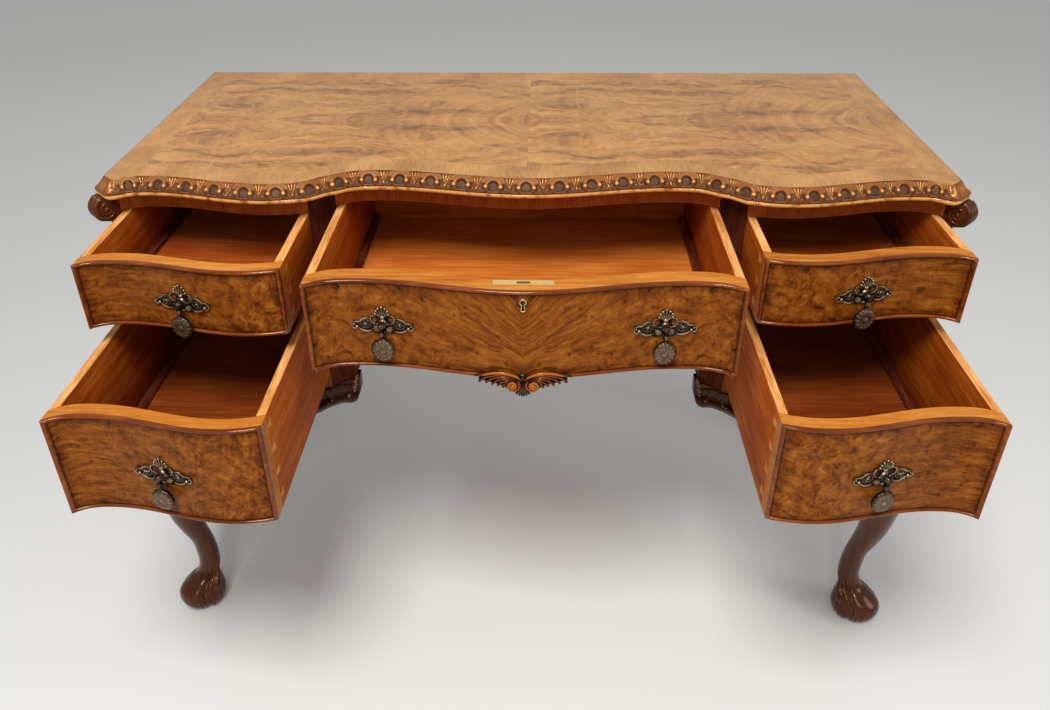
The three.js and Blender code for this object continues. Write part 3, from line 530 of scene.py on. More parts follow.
# The case behind the fronts: walnut-veneered pine and solid walnut rails, glued up and left plain.
# Each board keeps its sawn shape, with its arrises eased as by a pass of a block plane.
def wood(name, dark, middle, light, grain, line, gloss=0.32, shine=0.14, coat=0.0, contrast=1.0):
    """Polished straight-grained wood: growth lines a given distance apart and long fine pores."""
    material, tree, shader = new_material(name)
    place = add(tree, "TexCoord", output="Object")

    def grown(width, ratio, **noise):
        scale = [1 / width] * 3
        scale["XYZ".index(grain)] = 1 / (width * ratio)
        return streaks(tree, place, scale, **noise)

    lines = grown(line, 16, Detail=4, Roughness=0.6, Distortion=0.3)
    cloud = grown(line * 9, 3, Detail=3)
    mixed = add(tree, "Mix", {0: 0.45, 2: lines, 3: cloud}, data_type="FLOAT")
    reach = 0.12 / contrast
    tones = ((0.5 - reach, dark), (0.5 + reach, light), (0.5, middle))
    tone = add(tree, "ValToRGB", {0: mixed}, stops=tones)
    pores = add(tree, "ValToRGB", {0: grown(1.1 * mm, 18, Detail=2)}, stops=((0.34, 0.82), (0.48, 1.0)))
    wire(shader, {
        "Base Color": add(tree, "Mix", {0: 1.0, 6: tone, 7: pores}, data_type="RGBA", blend_type="MULTIPLY"),
        "Normal": add(tree, "Bump", {"Strength": 0.25, "Distance": 0.15 * mm, "Height": pores}),
        "Roughness": add(tree, "MapRange", {0: cloud, 3: gloss - 0.06, 4: gloss + 0.08}),
        "Specular IOR Level": shine,
        "Specular Tint": srgb("#ffc890"),
        "Coat Weight": coat,
        "Coat Roughness": 0.1,
    })
    return material


def copied(source, name):
    """A copy of an object with a mesh of its own."""
    piece = bpy.data.objects.new(name, source.data.copy())
    bpy.context.scene.collection.objects.link(piece)
    return piece


def eased_board(node, body, slot, material, width=0.8 * mm):
    """A copy of a board's solid with its arrises rounded; it takes the solid's place."""
    piece = copied(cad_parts[node], "board")
    piece.data.materials.clear()
    with editing(piece):
        bpy.ops.mesh.remove_doubles(threshold=0.01 * mm)
        bpy.ops.mesh.dissolve_limited(angle_limit=math.radians(0.3))
    apply_modifier(
        piece, "BEVEL", width=width, segments=2, limit_method="ANGLE",
        angle_limit=math.radians(50), use_clamp_overlap=True,
    )
    settle(piece, node + "_board", body, slot, material)
    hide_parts(node)
    return piece


side_veneer = wood("side_veneer", "#7a3c16", "#93501f", "#a8642a", "Z", 7 * mm)
rail_veneer = wood(
    "cross_grained_rail", "#783213", "#90461c", "#a45628", "Z", 1.6 * mm, gloss=0.3, contrast=0.6
)
kneehole_veneer = wood(
    "kneehole_veneer", "#2a1007", "#3c170a", "#4e2210", "Z", 4 * mm, gloss=0.45, shine=0.04
)
plain_walnut = wood(
    "plain_walnut", "#4a2712", "#643a1c", "#785028", "X", 8 * mm, gloss=0.5, shine=0.05, contrast=0.6
)
runner_wood = wood("runner_wood", "#6a3a18", "#8f5a2a", "#b07a40", "Y", 5 * mm, gloss=0.55, shine=0.08)

eased_board("frieze_rail", "case", "case_walnut", rail_veneer, 0.6 * mm)
eased_board("back_panel", "case", "case_walnut", plain_walnut)
for side in ("left", "right"):
    eased_board(f"{side}_side_panel", "case", "case_walnut", side_veneer)
    eased_board(f"{side}_kneehole_panel", "case", "case_walnut", kneehole_veneer, 1.2 * mm)
    eased_board(f"{side}_drawer_divider", "case", "case_walnut", plain_walnut)
    eased_board(f"{side}_pedestal_bottom", "case", "case_walnut", plain_walnut)
    eased_board(f"{side}_centre_runner", "case", "mahogany", runner_wood)

# The drawer boxes: mahogany sides, back and bottom, dovetailed into the fronts and lightly polished.
# The sides are paler on their top edges, every face of them that looks upwards, and a dark moulded slip
# covers each side's joint with the bottom.
box_side = wood("drawer_side_mahogany", "#85380e", "#9a4912", "#ac5c1f", "Y", 6 * mm, gloss=0.5, shine=0.05)
box_back = wood("drawer_back_mahogany", "#7c3410", "#8e4116", "#a05022", "X", 6 * mm, gloss=0.45, shine=0.06)
# The bottoms are one mahogany, in three copies for painted light and shade: brightest in the centre drawer,
# darker in the top drawers and darkest in the lower ones, for how far light reaches into each.
floors_by_light = {
    row: wood(f"{row}_bottom_mahogany_painted_light", *tones, "X", 5 * mm, gloss=0.34, shine=0.3)
    for row, *tones in (
        ("centre", "#b65a1c", "#ca6e28", "#da8236"),
        ("top", "#8a3a12", "#9e4a1a", "#b05c26"),
        ("lower", "#6a2a0c", "#7a3612", "#8a441c"),
    )
}
side_edge = wood("drawer_side_edge", "#a8662c", "#c98a4c", "#dca466", "Y", 3 * mm, gloss=0.45, shine=0.1)
slip_wood = wood("drawer_slip", "#3a150b", "#552314", "#6e3420", "Y", 4 * mm, gloss=0.24, shine=0.25)
pin_wood = wood("dovetail_pin", "#b06a28", "#c68038", "#d29248", "Z", 2 * mm, gloss=0.5, shine=0.05)

# Each front's ends, foot and head, its thickness and how far it stands pulled out, in millimetres.
drawer_list = {
    "top_left_drawer": (-548, -293, 649.5, 739.5, 22, 158),
    "top_right_drawer": (293, 548, 649.5, 739.5, 22, 121),
    "lower_left_drawer": (-548, -293, 479.5, 620.5, 22, 311),
    "lower_right_drawer": (293, 548, 479.5, 620.5, 22, 294),
    "centre_drawer": (-259, 259, 618.5, 739.5, 27, 223),
}
slip_width, slip_height, slip_round = 10 * mm, 8 * mm, 6 * mm
for drawer, (x0, x1, foot, head, thick_mm, pulled) in drawer_list.items():
    for side, turn in (("left", 1), ("right", -1)):
        board = eased_board(f"{drawer}_{side}_side", drawer, "mahogany", box_side, 1.0 * mm)
        board.data.materials.append(side_edge)
        for face in board.data.polygons:
            if face.normal.z > 0.4:
                face.material_index = 1
        low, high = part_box(f"{drawer}_{side}_side")
        outer, inner = (low.x, high.x)[::turn]
        floor_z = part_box(f"{drawer}_bottom")[1].z
        # The slip: a square strip with its upper inner arris rounded over.
        bpy.ops.mesh.primitive_cube_add(size=1)
        slip = bpy.context.object
        start, end = face_y(inner) + (thick_mm + 1.2 - pulled) * mm, high.y - 11 * mm
        slip.dimensions = (slip_width, end - start, slip_height)
        slip.location = (inner + turn * 5.3 * mm, (end + start) / 2, floor_z + 4.3 * mm)
        bpy.ops.object.transform_apply()
        with editing(slip):
            bpy.ops.mesh.select_mode(type="EDGE")
            bpy.ops.mesh.select_all(action="DESELECT")
        for edge in slip.data.edges:
            ends = [slip.data.vertices[v].co for v in edge.vertices]
            lengthwise = abs(ends[0].y - ends[1].y) > 0.01
            edge.select = lengthwise and ends[0].z > floor_z + 6 * mm and (ends[0].x - inner) * turn > 6 * mm
        bpy.ops.object.mode_set(mode="EDIT")
        bpy.ops.mesh.bevel(offset=slip_round, segments=6, profile=0.5)
        bpy.ops.object.mode_set(mode="OBJECT")
        settle(slip, f"{drawer}_{side}_slip", drawer, "mahogany", slip_wood, angle=30)
        # Lapped dovetails show on the side's outer face as a row of pins from the front board.
        pins = max(2, round((head - foot) / 32))
        front_line = face_y(outer) + (thick_mm - pulled) * mm
        for k in range(pins):
            level = (foot + (head - foot) * (k + 0.5) / pins) * mm
            bpy.ops.mesh.primitive_cylinder_add(vertices=4, radius=1, depth=1, rotation=(0, math.pi / 2, 0))
            pin = bpy.context.object
            bpy.ops.object.transform_apply()
            # Each pin is narrow where it leaves the front board and wide at its far end.
            for v in pin.data.vertices:
                corner = (round(v.co.y), round(v.co.z))
                reach, half = (0.3, 3.2) if corner in ((0, 1), (-1, 0)) else (13, 6.2)
                rise = 1 if corner in ((0, 1), (1, 0)) else -1
                skin = math.copysign(0.12 * mm, v.co.x)
                v.co = (outer + skin, front_line + reach * mm, level + rise * half * mm)
            settle(pin, f"{drawer}_{side}_pin_{k + 1}", drawer, "mahogany", pin_wood)
    eased_board(f"{drawer}_back", drawer, "mahogany", box_back, 1.0 * mm)
    eased_board(f"{drawer}_bottom", drawer, "mahogany", floors_by_light[drawer.split("_")[0]], 0.4 * mm)

# The drawer fronts: thick boards sawn to the serpentine, faced with burr walnut and edged with a cockbead.
# The burr is matched left to right across the table and book-matched on the centre drawer.
burr, tree, shader = new_material("burr_walnut")
place = add(tree, "TexCoord", output="Object")
along_x, along_y, along_z = add(tree, "SeparateXYZ", {0: place}).node.outputs
mirrored = add(tree, "Math", {0: along_x}, operation="ABSOLUTE")
matched = add(tree, "CombineXYZ", {0: mirrored, 1: along_y, 2: along_z})
stirred = stirred_by(tree, matched, 24, 4, 0.05)
# Mottle about 14 mm across with finer clouding inside it.
mottle = add(tree, "TexNoise", {"Vector": stirred, "Scale": 66, "Detail": 10, "Roughness": 0.76})
# A plume spreads from the foot of the centre joint, in streaks 4 mm wide that break up within a hand.
little = add(tree, "Mix", {0: 0.4, 4: matched, 5: stirred}, data_type="VECTOR")
away, _, height = add(tree, "SeparateXYZ", {0: little}).node.outputs
rise = add(tree, "Math", {0: height, 1: 0.6}, operation="SUBTRACT")
run = add(tree, "Math", {0: away, 1: 0.09}, operation="ADD")
fan = add(tree, "Math", {0: rise, 1: run}, operation="ARCTAN2")
plume = add(tree, "CombineXYZ", {0: fan, 1: run})
plume = streaks(tree, plume, (30, 26, 1), Detail=8, Roughness=0.74, Distortion=0.4)
# Slanting figure towards the outer ends, in streaks 4 mm wide that fall outwards.
slanting = streaks(tree, little, (30, 30, 190), (0, -0.6, 0), Detail=8, Roughness=0.72)
outer_part = add(tree, "MapRange", {0: mirrored, 1: 0.36, 2: 0.5, 3: 0.05, 4: 0.68})
centre_part = add(tree, "MapRange", {0: mirrored, 1: 0.05, 2: 0.2, 3: 0.66, 4: 0.1})
in_centre = add(tree, "Math", {0: mirrored, 1: 0.275}, operation="LESS_THAN")
centre_part = add(tree, "Math", {0: centre_part, 1: in_centre}, operation="MULTIPLY")
figure = add(tree, "Mix", {0: outer_part, 2: mottle, 3: slanting}, data_type="FLOAT")
figure = add(tree, "Mix", {0: centre_part, 2: figure, 3: plume}, data_type="FLOAT")
eyes = add(tree, "TexVoronoi", {"Vector": stirred, "Scale": 88})
eyes = add(tree, "MapRange", {0: eyes, 1: 0.05, 2: 0.34, 3: -0.1, 4: 0})
figure = add(tree, "Math", {0: figure, 1: eyes}, operation="ADD")
# Towards the cockbead the figure darkens over its last 12 mm.
from_bead = add(tree, "Attribute", attribute_name="from_edge", output="Fac")
shaded = add(tree, "MapRange", {0: from_bead, 1: 0, 2: 0.012, 3: -0.09, 4: 0})
figure = add(tree, "Math", {0: figure, 1: shaded}, operation="ADD")
burr_tones = ((0.3, "#2c1205"), (0.69, "#a87032"), (0.4, "#522708"), (0.48, "#70380d"), (0.57, "#884e17"))
tone = add(tree, "ValToRGB", {0: figure}, stops=burr_tones)
# The veneer darkens further in a narrow line along the cockbead.
bead_line_dark = add(tree, "MapRange", {0: from_bead, 1: 0.0004, 2: 0.0022, 3: 0.25, 4: 1})
tone_with_bead_line = add(tree, "Mix", {0: 1.0, 6: tone, 7: bead_line_dark}, data_type="RGBA", blend_type="MULTIPLY")
rub = add(tree, "MapRange", {0: mottle, 3: 0.24, 4: 0.36})
wire(shader, {"Base Color": tone_with_bead_line, "Roughness": rub})
wire(shader, {"Specular IOR Level": 0.16, "Specular Tint": srgb("#ffc890")})

front_board = wood("front_board", "#98521a", "#b06a26", "#c07c34", "X", 6 * mm, gloss=0.4, shine=0.05)
bead_wood = wood(
    "cockbead_walnut", "#521f09", "#6a2f0e", "#844218", "X", 9 * mm, gloss=0.13, shine=0.45, coat=0.12
)
bead_width, rebate = 4.4, 2.6
# Across the cockbead from its outer edge inwards: distance in, and height proud of the face.
bead_arc = [(2.2 + 2.2 * math.cos(a), 0.4 + 2.3 * math.sin(a)) for a in np.linspace(math.pi, 0, 9)]
bead_profile = np.array([(0, -rebate), *bead_arc, (bead_width, -0.8), (3.8, -rebate), (0, -rebate)])


def spaced(low, high, count):
    """Stations over the veneer from bead to bead, close together beside the beads."""
    near = bead_width + np.array((0.0, 1.2, 2.4, 6.0))
    middle = np.linspace(low + bead_width + 12, high - bead_width - 12, count)
    return np.concatenate([low + near, middle, (high - near)[::-1]])


for drawer, (x0, x1, foot, head, thick_mm, pulled) in drawer_list.items():
    columns = 64 if drawer == "centre_drawer" else 34
    field_x = spaced(x0, x1, columns - 11)
    station = np.concatenate([[x0, x0 + bead_width], field_x, [x1 - bead_width, x1]])
    in_field = np.concatenate([[False, False], np.ones(len(field_x), bool), [False, False]])
    # Round the board, from its face over its rebate and back: depth, height, and whether it is veneer.
    loop = [(0.0, z, True) for z in spaced(foot, head, 9)]
    veneer_rows = len(loop)
    loop += [(rebate, head - bead_width, False), (rebate, head, False)]
    loop += [(thick_mm - 0.8, head, False), (thick_mm, head - 0.8, False)]
    loop += [(thick_mm, foot + 0.8, False), (thick_mm - 0.8, foot, False)]
    loop += [(rebate, foot, False), (rebate, foot + bead_width, False), (0.0, foot + bead_width, True)]
    depth_of, level_of, face_of = (np.array(v) for v in zip(*loop))

    def front_points(i, j):
        x = station[i]
        sunk = np.where(face_of[j] & ~in_field[i], rebate, depth_of[j])
        return x * mm, face_y(x * mm) + (sunk - pulled) * mm, level_of[j] * mm

    front, i, j = shaped_grid(len(station) - 1, len(loop) - 1, front_points)
    beside = np.minimum(station[i] - x0, x1 - station[i])
    inside = np.minimum(beside, np.minimum(level_of[j] - foot, head - level_of[j]))
    mark(front, "from_edge", np.clip((inside - bead_width) * mm, 0, 1))
    for face in front.data.polygons:
        veneered = all(j[v] < veneer_rows and in_field[i[v]] for v in face.vertices)
        face.material_index = 0 if veneered else 1
    close_seams(front)
    settle(front, f"{drawer}_front_board", drawer, "burr_walnut", burr, front_board, angle=30)
    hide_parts(f"{drawer}_front")

    # The cockbead: four mitred strips with a rounded face, glued in a rebate round the front.
    run_x = np.linspace(x0 + 6, x1 - 6, columns)
    run_z = np.linspace(foot + 6, head - 6, 6)
    corners = [(x0, head), *((x, head) for x in run_x), (x1, head), *((x1, z) for z in run_z[::-1])]
    corners += [(x1, foot), *((x, foot) for x in run_x[::-1]), (x0, foot), *((x0, z) for z in run_z)]
    corners = np.array([*corners, (x0, head)])

    def bead_points(i, j):
        inwards, proud = bead_profile[j].T
        x = np.clip(corners[i, 0], x0 + inwards, x1 - inwards)
        z = np.clip(corners[i, 1], foot + inwards, head - inwards)
        return x * mm, face_y(x * mm) - (proud + pulled) * mm, z * mm

    bead, i, j = shaped_grid(len(corners) - 1, len(bead_profile) - 1, bead_points)
    close_seams(bead)
    settle(bead, f"{drawer}_cockbead", drawer, "case_walnut", bead_wood, angle=50)

# The pocket for the lock in the top edge of the centre front, with the holes for its thread and its key.
_, _, centre_foot, _, centre_thick, centre_pull = drawer_list["centre_drawer"]
lock_y = face_y(0.0) + (centre_thick - 0.3 - 5.5 - centre_pull) * mm
key_z = 720.5
cutters = []
for half_x, low, high in ((31.3, 693.2, 745), (36.3, 736.7, 745)):
    bpy.ops.mesh.primitive_cube_add(size=1, location=(0, lock_y, (low + high) / 2 * mm))
    bpy.context.object.scale = (2 * half_x * mm, 11.6 * mm, (high - low) * mm)
    cutters.append(bpy.context.object)
for radius, level, stretch in ((3.3, 3.9, 1.0), (2.0, -1.6, 3.0)):
    bpy.ops.mesh.primitive_cylinder_add(
        vertices=32, radius=radius * mm, depth=60 * mm, rotation=(math.pi / 2, 0, 0),
        location=(0, face_y(0.0) - centre_pull * mm, (key_z + level) * mm),
    )
    bpy.ops.object.transform_apply(location=False)
    bpy.context.object.scale = (1, 1, stretch)
    cutters.append(bpy.context.object)
for cutter in cutters:
    centre_front = bpy.data.objects["centre_drawer_front_board"]
    apply_modifier(centre_front, "BOOLEAN", operation="DIFFERENCE", solver="EXACT", object=cutter)
    bpy.data.objects.remove(cutter)

# The legs: solid walnut cabrioles, square at the knee and round at the ankle, stained dark and glossy.
# Each foot has a smooth toe pad between two ridges, fluted lobes at its sides and a small ear behind each.
leg_walnut = wood(
    "leg_walnut", "#301307", "#421b09", "#54260e", "Z", 9 * mm, gloss=0.2, shine=0.35, coat=0.22, contrast=0.8
)
# Each ring: height, how far the knee or the foot reaches out and in, half its width, and its squareness.
knee_rings = (
    (455.4, -2, -117, 59.4, 1.12), (439.9, 8, -110, 58, 1.15), (416.1, 20, -85, 55, 1.25),
    (400.3, 30, -60, 50, 1.4), (350, 44, -38, 42, 1.6), (300.2, 43, -26, 35, 1.8), (249.9, 37, -20, 29, 2),
)
shank_rings = (
    (200.1, 5, 23.1), (164.9, -3, 19.95), (132.8, -12, 17.5), (103.1, -15.5, 17.5), (75.8, -15, 17.5),
)
foot_rings = (
    (60, 9.9, -27.5, 18.5, 2), (49.8, 26.9, -28, 25.2, 2), (37.8, 43.4, -30, 29.9, 2.1),
    (24, 47.0, -31, 32, 2.3), (12, 43.0, -29, 31, 2.3), (4, 34.0, -24, 27, 2.3), (0, 24.0, -16, 20, 2.2),
)
rings = np.array([*knee_rings, *((z, c + r, c - r, r, 2) for z, c, r in shank_rings), *foot_rings])


def through(points, at):
    """A smooth curve (Catmull-Rom) through the points, read at fractional point numbers."""
    points = np.asarray(points, float)
    k = np.clip(np.floor(at).astype(int), 0, len(points) - 2)
    t = (at - k)[:, None]
    a, b, c, d = (points[np.clip(k + step, 0, len(points) - 1)] for step in (-1, 0, 1, 2))
    return 0.5 * (2 * b + (c - a) * t + (2 * a - 5 * b + 4 * c - d) * t**2 + (3 * b - a - 3 * c + d) * t**3)


def foot_relief(turn, z):
    """Carving of the foot in millimetres over the angle from its toe and the height."""
    off = np.abs(turn)
    # The toe pad, its two ridges with a groove between them, a deep groove and the fluted lobes.
    grown = np.clip((88 - z) / 26, 0, 1) * np.clip(z / 3, 0.25, 1)
    relief = 1.2 * np.clip((54 - off) / 8, 0, 1)
    relief = relief + 1.7 * bump(off - 57, 3.4) + 1.6 * bump(off - 66, 3.2) - 0.9 * bump(off - 61.5, 2.6)
    relief = relief - 1.8 * bump(off - 73, 5)
    lobe = np.clip((off - 74) / 8, 0, 1) * np.clip((136 - off) / 10, 0, 1)
    relief = relief + lobe * (1.8 - 1.7 * np.abs(np.sin((off - 74) * math.pi / 15)) ** 3)
    relief = relief * grown
    # A small eye low on the lobes, and the ear behind and above it.
    relief = relief + 3.4 * bump(np.hypot((off - 94) / 15, (z - 11) / 9), 1)
    relief = relief - 1.4 * bump(np.hypot((off - 94) / 8, (z - 11) / 5), 1)
    ear = bump(np.hypot((off - 112) / 18, (z - 48) / 17), 1)
    return relief + 4.4 * ear - 1.6 * bump(np.hypot((off - 112) / 8, (z - 48) / 9), 1)


leg_turns, knee_steps = 96, 11
leg_rows = np.concatenate([np.linspace(0, knee_steps, 56)[:-1], np.linspace(knee_steps, len(rings) - 1, 66)])
skin = through(rings, leg_rows)
leg_x, front_leg_y, rear_leg_y = 563, -110.226, 384.774
for name, side, facing, start in (
    ("front_left_leg", -1, -1, front_leg_y), ("front_right_leg", 1, -1, front_leg_y),
    ("rear_left_leg", -1, 1, rear_leg_y), ("rear_right_leg", 1, 1, rear_leg_y),
):

    def leg_points(i, j):
        z, outer, inner, half, power = skin[j].T
        turn = 2 * math.pi * i / leg_turns
        cosine, sine = np.cos(turn), np.sin(turn)
        radius = (np.abs(cosine) ** power + np.abs(sine) ** power) ** (-1 / power)
        degrees = (np.degrees(turn) + 180) % 360 - 180
        carve = foot_relief(degrees, z)
        u = (outer + inner) / 2 + ((outer - inner) / 2 * radius + carve) * cosine
        v = (half * radius + carve) * sine
        x = side * (leg_x + (u + v) * math.sqrt(0.5))
        y = start + facing * (u - v) * math.sqrt(0.5)
        return x * mm, y * mm, z * mm

    leg, i, j = shaped_grid(leg_turns, len(skin) - 1, leg_points)
    close_seams(leg, 0.05 * mm)
    settle(leg, name + "_cabriole", "case", "leg_walnut", leg_walnut, angle=32)
    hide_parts(name)

# The corner posts and their scrolls: a canted post rises from each front knee, and a fluted scroll rolls
# out from its head, with a spiral and an eye cut on both of its cheeks.


def rod(path, radii, sides=10):
    """A round bar along a path in millimetres with a radius at each point, pointed or domed by its radii."""
    path = np.asarray(path, float)
    radii = np.broadcast_to(radii, len(path)).astype(float)
    along = np.gradient(path, axis=0)
    along /= np.linalg.norm(along, axis=1)[:, None]
    guide = np.array((0.0, 1.0, 0.0)) if np.abs(along[:, 1]).max() < 0.9 else np.array((1.0, 0.0, 0.0))
    first = np.cross(along, guide)
    first /= np.linalg.norm(first, axis=1)[:, None]
    second = np.cross(along, first)

    def skin_points(i, j):
        turn = (2 * math.pi * i / sides)[:, None]
        p = path[j] + radii[j][:, None] * (np.cos(turn) * first[j] + np.sin(turn) * second[j])
        return tuple(p.T * mm)

    piece, i, j = shaped_grid(sides, len(path) - 1, skin_points)
    close_seams(piece, 0.005 * mm)
    return piece


def ball(middle, sizes, segments=16):
    """A ball or an egg with its middle and its half sizes in millimetres."""
    bpy.ops.mesh.primitive_uv_sphere_add(segments=segments, ring_count=segments // 2, radius=mm)
    piece = bpy.context.object
    piece.location = [m * mm for m in middle]
    piece.scale = np.broadcast_to(sizes, 3)
    bpy.ops.object.transform_apply()
    return piece


def around(out, y, up, reach, turn):
    """Points at a reach from a centre over a turn, in an upright plane."""
    y = np.broadcast_to(y, turn.shape)
    return np.stack([out + reach * np.cos(turn), y, up + reach * np.sin(turn)], -1)


def united(pieces):
    """Joins loose pieces into the first of them."""
    bpy.ops.object.select_all(action="DESELECT")
    for piece in pieces:
        piece.select_set(True)
    bpy.context.view_layer.objects.active = pieces[0]
    bpy.ops.object.join()
    return bpy.context.object


def moved(piece, place):
    """Sends each point of a piece through place(x, y, z), all in metres."""
    piece.data.vertices.foreach_set("co", np.stack(place(*points_of(piece).T), -1).ravel())
    piece.data.update()
    return piece


scroll_width = 21.6
scroll_out, scroll_up = 16.8, 747.7
post_head, post_foot = 765.7, 455.6
roll = np.radians(np.linspace(-52, 90, 30))
scroll_edge = [(-1.0, 685.7), (1.2, 697), (4.2, 708), (9.0, 720), (14.8, 729.2)]
scroll_edge += [(scroll_out + 18 * math.cos(a), scroll_up + 18 * math.sin(a)) for a in roll]
scroll_edge += [(8, post_head), (-1, post_head), (-1, 725), (-1, 685.7)]
scroll_edge = np.array(scroll_edge)
spiral_turn = np.linspace(0, 3.6 * math.pi, 64)
spiral_reach = 16.2 * np.exp(-0.105 * spiral_turn)
for side, word in ((-1, "left"), (1, "right")):
    post_plan = [(549.2, 0), (565, 16), (565, 46), (549.2, 46)]
    bpy.ops.mesh.primitive_cylinder_add(vertices=4, radius=1, depth=1)
    post = bpy.context.object
    for v in post.data.vertices:
        corner = post_plan[round(math.degrees(math.atan2(v.co.y, v.co.x)) / 90) % 4]
        level = post_head if v.co.z > 0 else post_foot
        v.co = (side * corner[0] * mm, corner[1] * mm - case_shift, level * mm)
    close_seams(post)
    apply_modifier(post, "BEVEL", width=1.0 * mm, segments=2)
    settle(post, f"{word}_corner_post", "case", "leg_walnut", leg_walnut)

    def scroll_points(i, j):
        share = i / 24 - 0.5
        out, level = scroll_edge[j].T
        rolled = np.clip((out + 1) / 6, 0, 1)
        flute = 1.5 * np.abs(np.sin(share * math.pi * 4)) ** 0.8 - 1.2
        edge_round = -1.8 * np.clip((np.abs(share) - 0.44) / 0.06, 0, 1) ** 2
        middle_out, middle_up = out - scroll_out, level - scroll_up
        reach = np.maximum(np.hypot(middle_out, middle_up), 1)
        push = (flute + edge_round) * rolled * (j < len(scroll_edge) - 4)
        out, level = out + push * middle_out / reach, level + push * middle_up / reach
        return out * mm, share * scroll_width * mm, level * mm

    scroll_body, i, j = shaped_grid(24, len(scroll_edge) - 1, scroll_points)
    close_seams(scroll_body)
    pieces = [scroll_body]
    for cheek in (-scroll_width / 2, scroll_width / 2):
        spiral = around(scroll_out, cheek, scroll_up, spiral_reach, 1.2 - spiral_turn)
        pieces.append(rod(spiral, np.linspace(1.9, 1.1, len(spiral)), 8))
        pieces.append(ball((scroll_out, cheek, scroll_up), (3.4, 2.2, 3.4)))

    def onto_cant(x, y, z):
        out_x, out_y = side * math.sqrt(0.5), -math.sqrt(0.5)
        cant_x, cant_y = side * 557 * mm, 8 * mm - case_shift
        return cant_x + x * out_x - y * out_y * side, cant_y + x * out_y + y * out_x * side, z

    scroll = moved(united(pieces), onto_cant)
    settle(scroll, f"{word}_corner_scroll", "case", "leg_walnut", leg_walnut, angle=50)

# The brackets: solid walnut cut to a long falling curve from the kneehole to the knee, carved with a rope
# along the lower edge, a round moulding over it, and above that a hollow filled with pairs of beads.
bracket_edge = np.array((
    (256.5, 432), (258.5, 424), (262, 416), (267, 412.8), (273, 414), (280, 417.6), (287, 420),
    (294, 420), (301, 418), (311, 413), (322, 408.4), (334, 403), (377, 374), (425, 341.5),
    (469, 311.4), (503, 279.2), (527, 240.4), (544, 226.4),
))
inner_end, outer_end = bracket_edge[0, 0], bracket_edge[-1, 0]
bracket_top, bracket_depth = 455.4, 24
along_count, fine_rows, coarse_rows = 190, 44, 8
down_count = fine_rows + coarse_rows


bracket_walnut = wood(
    "bracket_walnut", "#180a05", "#271108", "#381a0c", "X", 9 * mm, gloss=0.16, shine=0.25, coat=0.1
)


def bracket_relief(run, rise):
    """Height of the carving over the run along the lower edge and the rise square to that edge."""
    # From the edge: the rope, the round moulding and its fillet, the beaded hollow, and a last bead.
    rope = 1.6 * bump(rise - 1.8, 2.2) * (0.4 + 0.6 * np.abs(np.cos((run + rise * 1.2) * math.pi / 7)))
    lip = 7.0 * bump(rise - 8.6, 7.0) + 2.2 * bump(rise - 16.6, 1.4)
    hollow = -3.0 * bump(rise - 23, 6.4)
    beads = np.hypot((run / 10 - np.rint(run / 10)) * 10 - 1.4 * np.sign(rise - 23), np.abs(rise - 23) - 3.1)
    hollow = hollow + 4.4 * bump(beads, 2.7) + 3.4 * bump(rise - 31, 2.6)
    return np.maximum(rope, lip) + hollow + 0.8 * np.clip((rise - 34) / 2, 0, 1)


fine_across = np.linspace(inner_end, 340, 120, endpoint=False)
across = np.concatenate([fine_across, np.linspace(340, outer_end, along_count - 119)])
smoothing = np.hanning(9)[1:-1] / np.hanning(9)[1:-1].sum()
low = np.convolve(np.pad(np.interp(across, *bracket_edge.T), 3, mode="edge"), smoothing, "valid")
swept = 22 * np.clip((across - 412) / 132, 0, 1) ** 2
front_line = face_y(np.clip(across, 260, 549) * mm) / mm
run = np.concatenate([[0], np.cumsum(np.hypot(np.diff(across), np.diff(low)))])
upright = 1 / np.hypot(1, np.clip(np.gradient(low, across), -2.5, 0.4))
whole_rise = (bracket_top - low) * upright
fine_end = np.minimum(40, 0.88 * whole_rise)
for side, word in ((-1, "left"), (1, "right")):

    def bracket_points(i, j):
        j = np.where(j == down_count + 3, 0, j)
        row = np.minimum(j, down_count)
        fine = fine_end[i] * row / fine_rows
        coarse = fine_end[i] + (whole_rise[i] - fine_end[i]) * (row - fine_rows) / coarse_rows
        rise = np.where(row <= fine_rows, fine, coarse)
        z = low[i] + rise / upright[i]
        share = rise / whole_rise[i]
        bulb = 9.5 * bump(np.hypot(across[i] - 268.5, z - 423.5), 10.5) ** 0.8
        faded = np.clip((across[i] - 262) / 12, 0, 1) * np.clip((1 - share) / 0.04, 0, 1)
        relief = np.maximum(bracket_relief(run[i], rise) * faded, bulb)
        relief = relief - 4.0 * np.clip(1 - (across[i] - inner_end) / 4, 0, 1) ** 2
        carved_y = front_line[i] - swept[i] * (1 - share) - relief
        back_y = front_line[i] + bracket_depth
        which = [j <= down_count, j == down_count + 1, j == down_count + 2]
        y = np.select(which, [carved_y, back_y, back_y - swept[i]])
        z = np.select(which, [z, bracket_top, low[i]])
        return side * across[i] * mm, y * mm, z * mm

    shell, i, j = shaped_grid(along_count, down_count + 3, bracket_points)
    close_seams(shell)
    settle(shell, f"{word}_bracket_carved", "case", "leg_walnut", bracket_walnut, angle=60)
    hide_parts(f"{word}_bracket")

# The stile leaves: a small leaf of paler wood runs down the inner corner of each bracket, from the stile to
# the bulb. It is carved in the solid, a bent stalk with beads along it.
leaf_wood = wood("leaf_walnut", "#5c3a1c", "#74502a", "#8a683c", "Z", 4 * mm, gloss=0.3)
leaf_y = face_y(262 * mm) / mm


def tapered(points, radii, count=16, sides=10):
    """A bar through a few (across, up, forward) points, its radii spread evenly from end to end."""
    spots = np.array([(x, -forward, z) for x, z, forward in points], float)
    at = np.linspace(0, len(spots) - 1, count)
    return rod(through(spots, at), np.interp(at, np.linspace(0, len(spots) - 1, len(radii)), radii), sides)


